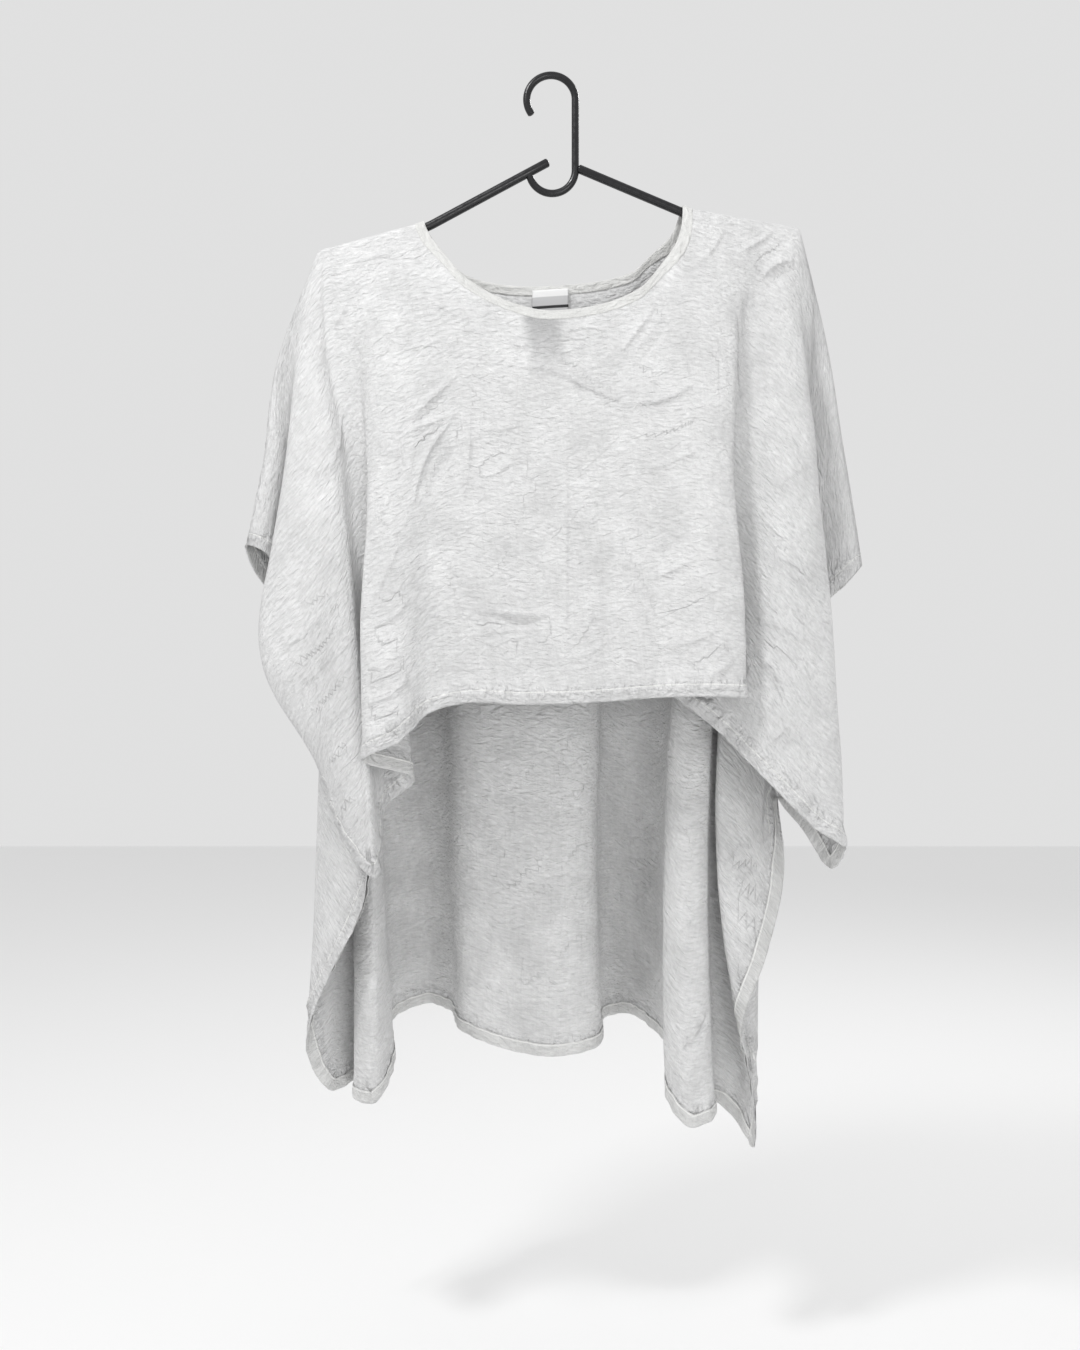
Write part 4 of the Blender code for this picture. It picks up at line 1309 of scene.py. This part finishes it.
    def spread(self) -> Array:
        """Ring positions of the columns, closer over the hem, at the neck's corners and round it.

        Returns:
            Ring positions in order.
        """
        lo, hi = self.drape.span
        inside = (RING.knot > lo - 1e-6) & (RING.knot < hi + 1e-6)
        k = RING.knot[inside]
        hem = np.array([e == "hem" for e in RING.edges + RING.edges[:1]])[inside]
        weight = np.where(hem[:-1] & hem[1:], 1.7, 0.75) * np.diff(k)
        total = np.concatenate([[0.0], np.cumsum(weight)])
        even = np.interp(np.linspace(0, total[-1], self.columns), total, k)
        half = NECK_HALF + TUCK
        corners = self.drape.at(np.array([NECK_MID - half, NECK_MID + half]))
        round_neck = self.drape.at(NECK_MID - half * np.cos(np.linspace(0.06, math.pi - 0.06, 24)))
        return np.unique(np.concatenate([even, corners, corners - 1.2, corners + 1.2, round_neck]))

    def loose(self, s: Array, v: Array, q: Array) -> Array:
        """Less movement beside the seams, the neck and the arms, where cloth is held.

        Args:
            s: places along the shoulder seam.
            v: depths.
            q: ring positions.

        Returns:
            Shares from 0 to 1.
        """
        beside, around = self.held
        neck = smooth((v - self.drape.start(s, NECK_OUT)) / around)
        neck = np.where(np.abs(s - NECK_MID) < NECK_HALF + around, neck, 1.0)
        return smooth(self.drape.inside(q) / beside) * neck

    def build(self) -> list[bpy.types.Object]:
        """Sheet, turned hems and stitches of the panel.

        The sheet is a grid: columns run down the fold lines, rows from the seam
        or the neck to the lower edge, closer together at both and the back's a
        little closer downwards.

        Returns:
            The three pieces.
        """
        d = self.drape
        q = self.spread()
        f = d.lines(q)
        first = d.start(f["s"], TUCK)
        head = np.maximum(np.where(first < 1e-3, 0.0, first), np.array(self.head)[:, None])
        tail = f["length"] - np.array(self.tail)[:, None]
        body = np.linspace(0, 1, self.rows + 1)[1:-1, None] ** (1.0 if self.side is Side.FRONT else 0.85)
        v = np.concatenate([head, head[-1] + body * (tail[0] - head[-1]), tail])
        loose = self.loose(f["s"], v, q)
        p = self.relax(q, v, np.stack([d.points(q, row, f) for row in v]), loose)
        edge, where = self.from_edge(p, q)
        flat = np.stack([d.flat(q, row) for row in v])
        normal = np.cross(np.gradient(p, axis=0), np.gradient(p, axis=1))
        crease, fold, crest = self.crease(flat)
        steady = smooth(np.linalg.norm(normal, axis=2) / 0.6)
        lift = self.soft_lift(flat, edge, where, v, crease) * steady * loose
        p = p + unit(normal) * lift[..., None]
        marks = {"edge": edge.ravel(), "run": where.ravel(), "fold": fold.ravel(), "crest": crest.ravel()}
        sheet = new_piece(f"{self.side.value}_cloth", p.reshape(-1, 3), grid_faces(*p.shape[:2])[:, ::-1],
                          self.linen, flat.reshape(-1, 2), marks)
        thicken(sheet, self.wall)
        return [sheet, self.turned_hems(), self.stitches()]

    def turned_hems(self) -> bpy.types.Object:
        """Turned hems: their section carried along the edges, square to them, on the inside.

        Returns:
            The piece.
        """
        deep = np.array(self.turned_section)[:, 0]
        strips, flats, edges, runs = [], [], [], []
        for q, v in self.edges(self.turned_step):
            rows = []
            for a, h in self.turned_section:
                qi, vi = self.drape.inset(q, v, a)
                lift = wander(q, self.puckers) - h - 0.1
                rows.append(self.drape.points(qi, vi) + self.drape.tangents(qi, vi)[2] * lift[:, None])
                flats.append(self.drape.flat(qi, vi))
            strips.append((np.concatenate(rows), grid_faces(len(deep), len(q))))
            edges.append(np.repeat(deep, len(q)))
            runs.append(np.tile(q, len(deep)))
        band = new_piece(f"{self.side.value}_hems", *join(strips), self.turned, np.concatenate(flats),
                         {"edge": np.concatenate(edges), "run": np.concatenate(runs)})
        thicken(band, self.turned_wall)
        return band

    def stitches(self) -> bpy.types.Object:
        """Sewing thread: stitches inside every turned edge, on both faces.

        Returns:
            The piece.
        """
        rows = []
        for q, v in self.edges(self.sewn_step):
            qi, vi = self.drape.inset(q, v, SEWN)
            normal = self.drape.tangents(qi, vi)[2]
            lifted = self.drape.points(qi, vi) + normal * wander(q, self.puckers)[:, None]
            rows.append(HEM_STITCH.row(lifted, normal))
        return HEM_STITCH.piece(f"{self.side.value}_stitches", rows, self.thread)


@dataclass
class Neck:
    """Folded binding round the neck, its stitching and the label inside the back."""

    band: bpy.types.Material
    thread: bpy.types.Material
    tape: bpy.types.Material
    sewn: float = 6.9                          # distance of the stitches from the neck edge
    tag: tuple[float, ...] = (-22.0, 11.0, 3.5, 70.0)      # label: left, right, start and end below the edge
    tag_grid: tuple[int, int] = (25, 45)       # its points across and down
    tag_wall: float = 0.5
    ripple: tuple[tuple[float, float, float], ...] = (
        # wavelength, phase, height
        (17.0, 0.3, 0.10), (11.0, 2.0, 0.12), (37.0, 1.0, 0.12),
    )
    section: tuple[tuple[float, float], ...] = (
        # distance from the neck edge, height over the cloth's middle
        (8.4, 0.25), (8.3, 0.72), (7.2, 0.78), (6.6, 0.66), (4.4, 0.85), (2.0, 0.9), (0.5, 0.66), (0.0, 0.0),
        (0.5, -0.66), (2.0, -0.9), (4.4, -0.85), (6.6, -0.66), (7.2, -0.78), (8.3, -0.72), (8.4, -0.25),
    )

    def oval(self, side: Side, grow: float, count: int) -> tuple[Array, Array]:
        """Points of the neck edge of one side, an oval whose halves differ.

        The points lie closer together at both ends.

        Args:
            side: which panel.
            grow: how far outside the neck's own edge.
            count: number of points.

        Returns:
            Places along the seam, and distances below it.
        """
        drop, left, right = NECK[side.value]
        turn = np.linspace(0, math.pi, count)
        turn = turn - 0.38 * np.sin(2 * turn) / 2
        c, s = np.cos(turn), np.maximum(np.sin(turn), 0.0)
        power = np.where(c > 0, left, right)
        u = NECK_MID - (NECK_HALF + grow) * np.sign(c) * np.abs(c) ** (2 / power)
        return u, np.where(s < 1e-9, 0.0, (drop + grow) * s ** (2 / power))

    def ring(self, grow: float, count: int = 150) -> tuple[Array, Array]:
        """Closed loop round the neck, down the front and back up the back.

        Args:
            grow: how far outside the neck's own edge.
            count: points on each side.

        Returns:
            Points, and the outward normals there.
        """
        points, normals = [], []
        for side, cut in ((Side.FRONT, slice(0, -1)), (Side.BACK, slice(-1, 0, -1))):
            drape = Drape(side)
            u, v = self.oval(side, grow, count)
            q = drape.at(u)
            points.append(drape.points(q, v)[cut])
            normals.append(drape.tangents(q, v)[2][cut])
        return np.concatenate(points), np.concatenate(normals)

    def build(self) -> list[bpy.types.Object]:
        """Binding, its stitches and the label.

        The binding's section goes round the neck, with a ripple that grows away
        from the neck edge.

        Returns:
            The three pieces.
        """
        along = path_length(self.ring(self.section[0][0])[0])
        loops, flats = [], []
        for grow, height in self.section + self.section[:1]:
            p, n = self.ring(grow)
            loops.append(p + n * (height + wander(along, self.ripple) * smooth(grow / 6))[:, None])
            flats.append(np.stack([along, np.full_like(along, grow)], -1))
        faces = grid_faces(len(loops), len(along), closed=True)
        binding = new_piece("neck_band", np.concatenate(loops), faces, self.band, np.concatenate(flats))
        row = BAND_STITCH.row(*self.ring(self.sewn, 400))
        return [binding, BAND_STITCH.piece("neck_stitches", [row], self.thread), self.label()]

    def label(self) -> bpy.types.Object:
        """Bare tape inside the back neck, hanging a little uneven in front of the panel.

        Returns:
            The piece.
        """
        drape = Drape(Side.BACK)
        (left, right, start, end), (wide, long) = self.tag, self.tag_grid
        u, w = np.linspace(left, right, wide), np.linspace(start, end, long)
        q = drape.at(u)
        edge = float(drape.start(u, 0.0).max())
        grid = np.stack([drape.points(q, np.full_like(u, edge + v)) for v in w])
        curl = 0.35 * np.sin(np.linspace(0, math.pi, wide))[None] + 0.25 * np.sin(w / 9)[:, None]
        grid[..., 1] -= BINDING_WALL / 2 + GAP + 0.5 + curl
        flat = np.stack(np.meshgrid(u - left, w - start), -1)
        tag = new_piece("neck_tag", grid.reshape(-1, 3), grid_faces(long, wide), self.tape,
                        flat.reshape(-1, 2))
        thicken(tag, self.tag_wall)
        return tag


@dataclass
class Hanger:
    """Moulded hanger: two arms, loop, stem and hook."""

    plastic: bpy.types.Material
    hook_r: float = 21.0
    hook_start: float = 215.0          # degrees round the hook where it begins
    hook_tube: float = 3.2             # radius of the hook's bar
    loop_r: float = 20.0
    loop_z: float = -79.0              # height of the loop's middle
    loop_end: float = -176.0           # degrees round the loop where it ends
    overlap: float = 14.0              # how far the left arm runs on into the loop
    sides: int = 28                    # corners round a bar

    def bar(self, path: Array, radius: float) -> tuple[Array, Array]:
        """Round bar along a path in the X-Z plane, with domed ends.

        Args:
            path: points as x and z.
            radius: the bar's.

        Returns:
            Points and quads.
        """
        run = unit(np.gradient(path, axis=0))
        dome = np.radians(np.array([90.0, 70.0, 45.0, 20.0]))
        start = path[0] - run[0] * radius * (np.sin(dome) * 0.5)[:, None]
        stop = path[-1] + run[-1] * radius * (np.sin(dome[::-1]) * 0.5)[:, None]
        size = np.concatenate([np.cos(dome), np.ones(len(path)), np.cos(dome[::-1])])[:, None] * radius
        path = np.concatenate([start, path, stop])
        run = np.concatenate([np.repeat(run[:1], 4, 0), run, np.repeat(run[-1:], 4, 0)])
        turn = np.arange(self.sides) * 2 * math.pi / self.sides
        ring = np.stack([path[:, :1] - size * np.cos(turn) * run[:, 1:], size * np.sin(turn),
                         path[:, 1:] + size * np.cos(turn) * run[:, :1]], -1)
        return ring.reshape(-1, 3), grid_faces(len(path), self.sides, closed=True)[:, ::-1]

    def arm(self, side: int, inner: Array) -> Array:
        """Axis of one arm, bent softly where it turns flatter.

        Args:
            side: -1 for the picture's left, 1 for its right.
            inner: where the arm starts in the loop.

        Returns:
            Points as x and z, turned with the hanger.
        """
        b, c = np.array(BEND), np.array([TIP, float(arm_axis(np.array(TIP)))])
        t = np.linspace(0, 1, 9)[:, None]
        before, after = b + (inner - b) * 0.07, b + (c - b) * 0.09
        curve = (1 - t) ** 2 * before + 2 * t * (1 - t) * b + t**2 * after
        share = np.linspace(0, 1, 6)[:, None]
        path = np.concatenate([inner + (before - inner) * share[:-1], curve, after + (c - after) * share[1:]])
        return np.stack(tilt(path[:, 0] * side, path[:, 1]), 1)

    def build(self) -> list[bpy.types.Object]:
        """The hanger as one piece of three bars: both arms, and the hook with stem and loop.

        Returns:
            The piece, in a list.
        """
        inner = np.array(ARM_IN)
        bend = np.radians(np.linspace(self.hook_start, 0, 48))
        under = np.radians(np.linspace(0, self.loop_end, 40))
        big, small, low = self.hook_r, self.loop_r, self.loop_z
        crown = -big + self.hook_tube
        hook = np.concatenate([
            np.stack([big * np.cos(bend), crown + big * np.sin(bend)], 1),
            np.stack([np.full(10, big), np.linspace(crown, low, 12)[1:-1]], 1),
            np.stack([small * np.cos(under) + (big - small), low + small * np.sin(under)], 1)])
        left = self.arm(-1, inner + self.overlap * np.array([-1.0, SLOPE_IN]))
        bars = [self.bar(left, TUBE), self.bar(self.arm(1, inner), TUBE), self.bar(hook, self.hook_tube)]
        return [new_piece("hanger_bars", *join(bars), self.plastic)]


def set_stage() -> None:
    """Pale floor, pale surroundings and soft lights."""
    scene = bpy.context.scene
    h = FLOOR_HALF
    mesh = bpy.data.meshes.new("floor")
    mesh.from_pydata([(x, y, FLOOR_Z) for x, y in ((-h, -h), (h, -h), (h, h), (-h, h))], [], [(0, 1, 2, 3)])
    floor = bpy.data.objects.new("floor", mesh)
    scene.collection.objects.link(floor)
    # Painted board: pale and matt, so the top's shadow lies softly on it.
    painted = Nodes("floor_pale").dress({}, {"Base Color": linear("f2f2f2"), "Roughness": 0.9})
    mesh.materials.append(painted)
    world = bpy.data.worlds.new("pale")
    world.use_nodes = True
    world.node_tree.nodes["Background"].inputs[0].default_value = linear("fcfcfc")
    world.node_tree.nodes["Background"].inputs[1].default_value = 0.77
    scene.world = world
    scene.view_settings.view_transform = "Standard"
    for i, (x, y, z, watts, size) in enumerate(LAMPS):
        light = bpy.data.lights.new(f"lamp_{i}", "AREA")
        light.energy, light.size = watts, size
        lamp = bpy.data.objects.new(f"lamp_{i}", light)
        lamp.location = (x, y, z)
        ax, ay, az = np.array(AIM) - (x, y, z)
        lamp.rotation_euler = (math.atan2(math.hypot(ax, ay), -az), 0.0, math.atan2(-ax, ay))
        scene.collection.objects.link(lamp)


def set_camera() -> None:
    """Camera at the photo's place: level, in front, with the photo's scale at the hanger."""
    scene = bpy.context.scene
    camera = bpy.data.cameras.new("camera")
    obj = bpy.data.objects.new("camera", camera)
    scene.collection.objects.link(obj)
    obj.location = CAMERA
    obj.rotation_euler = (math.radians(90), 0.0, 0.0)
    camera.sensor_fit, camera.sensor_height = "VERTICAL", SENSOR
    camera.lens = SENSOR * abs(CAMERA[1]) / (PHOTO_HIGH * PHOTO_SCALE)
    scene.camera = obj


def main() -> None:
    """Build every piece, dress the frame and report."""
    logging.basicConfig(level=logging.INFO, format="%(message)s")
    set_camera()
    set_stage()
    thread = cloth_material("thread", THREAD)
    # the front's linen carries the label's painted shadow
    front_linen = cloth_material("linen_front", LINEN, painted_label_shadow=True)
    back_linen = cloth_material("linen_back", LINEN)
    turned = cloth_material("linen_turned", TURNED)
    front = Panel(Side.FRONT, front_linen, turned, thread, 326, 122).build()
    back = Panel(Side.BACK, back_linen, turned, thread, 276, 145).build()
    neck = Neck(cloth_material("binding_cloth", BAND), thread, tape_material("label_tape", TAPE)).build()
    hanger = Hanger(plastic_material("hanger_plastic", BLACK)).build()
    built = {obj.name: obj for obj in front + back + neck + hanger}
    for name, slot, node in PIECES:
        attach(built[name], "root")
        if node:
            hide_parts(node)
        LOG.info("%s: %d faces", name, len(built[name].data.polygons))
    for (sheet, *sewn_on), side in ((front, Side.FRONT), (back, Side.BACK)):
        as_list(sewn_on)


if __name__ == "__main__":
    main()
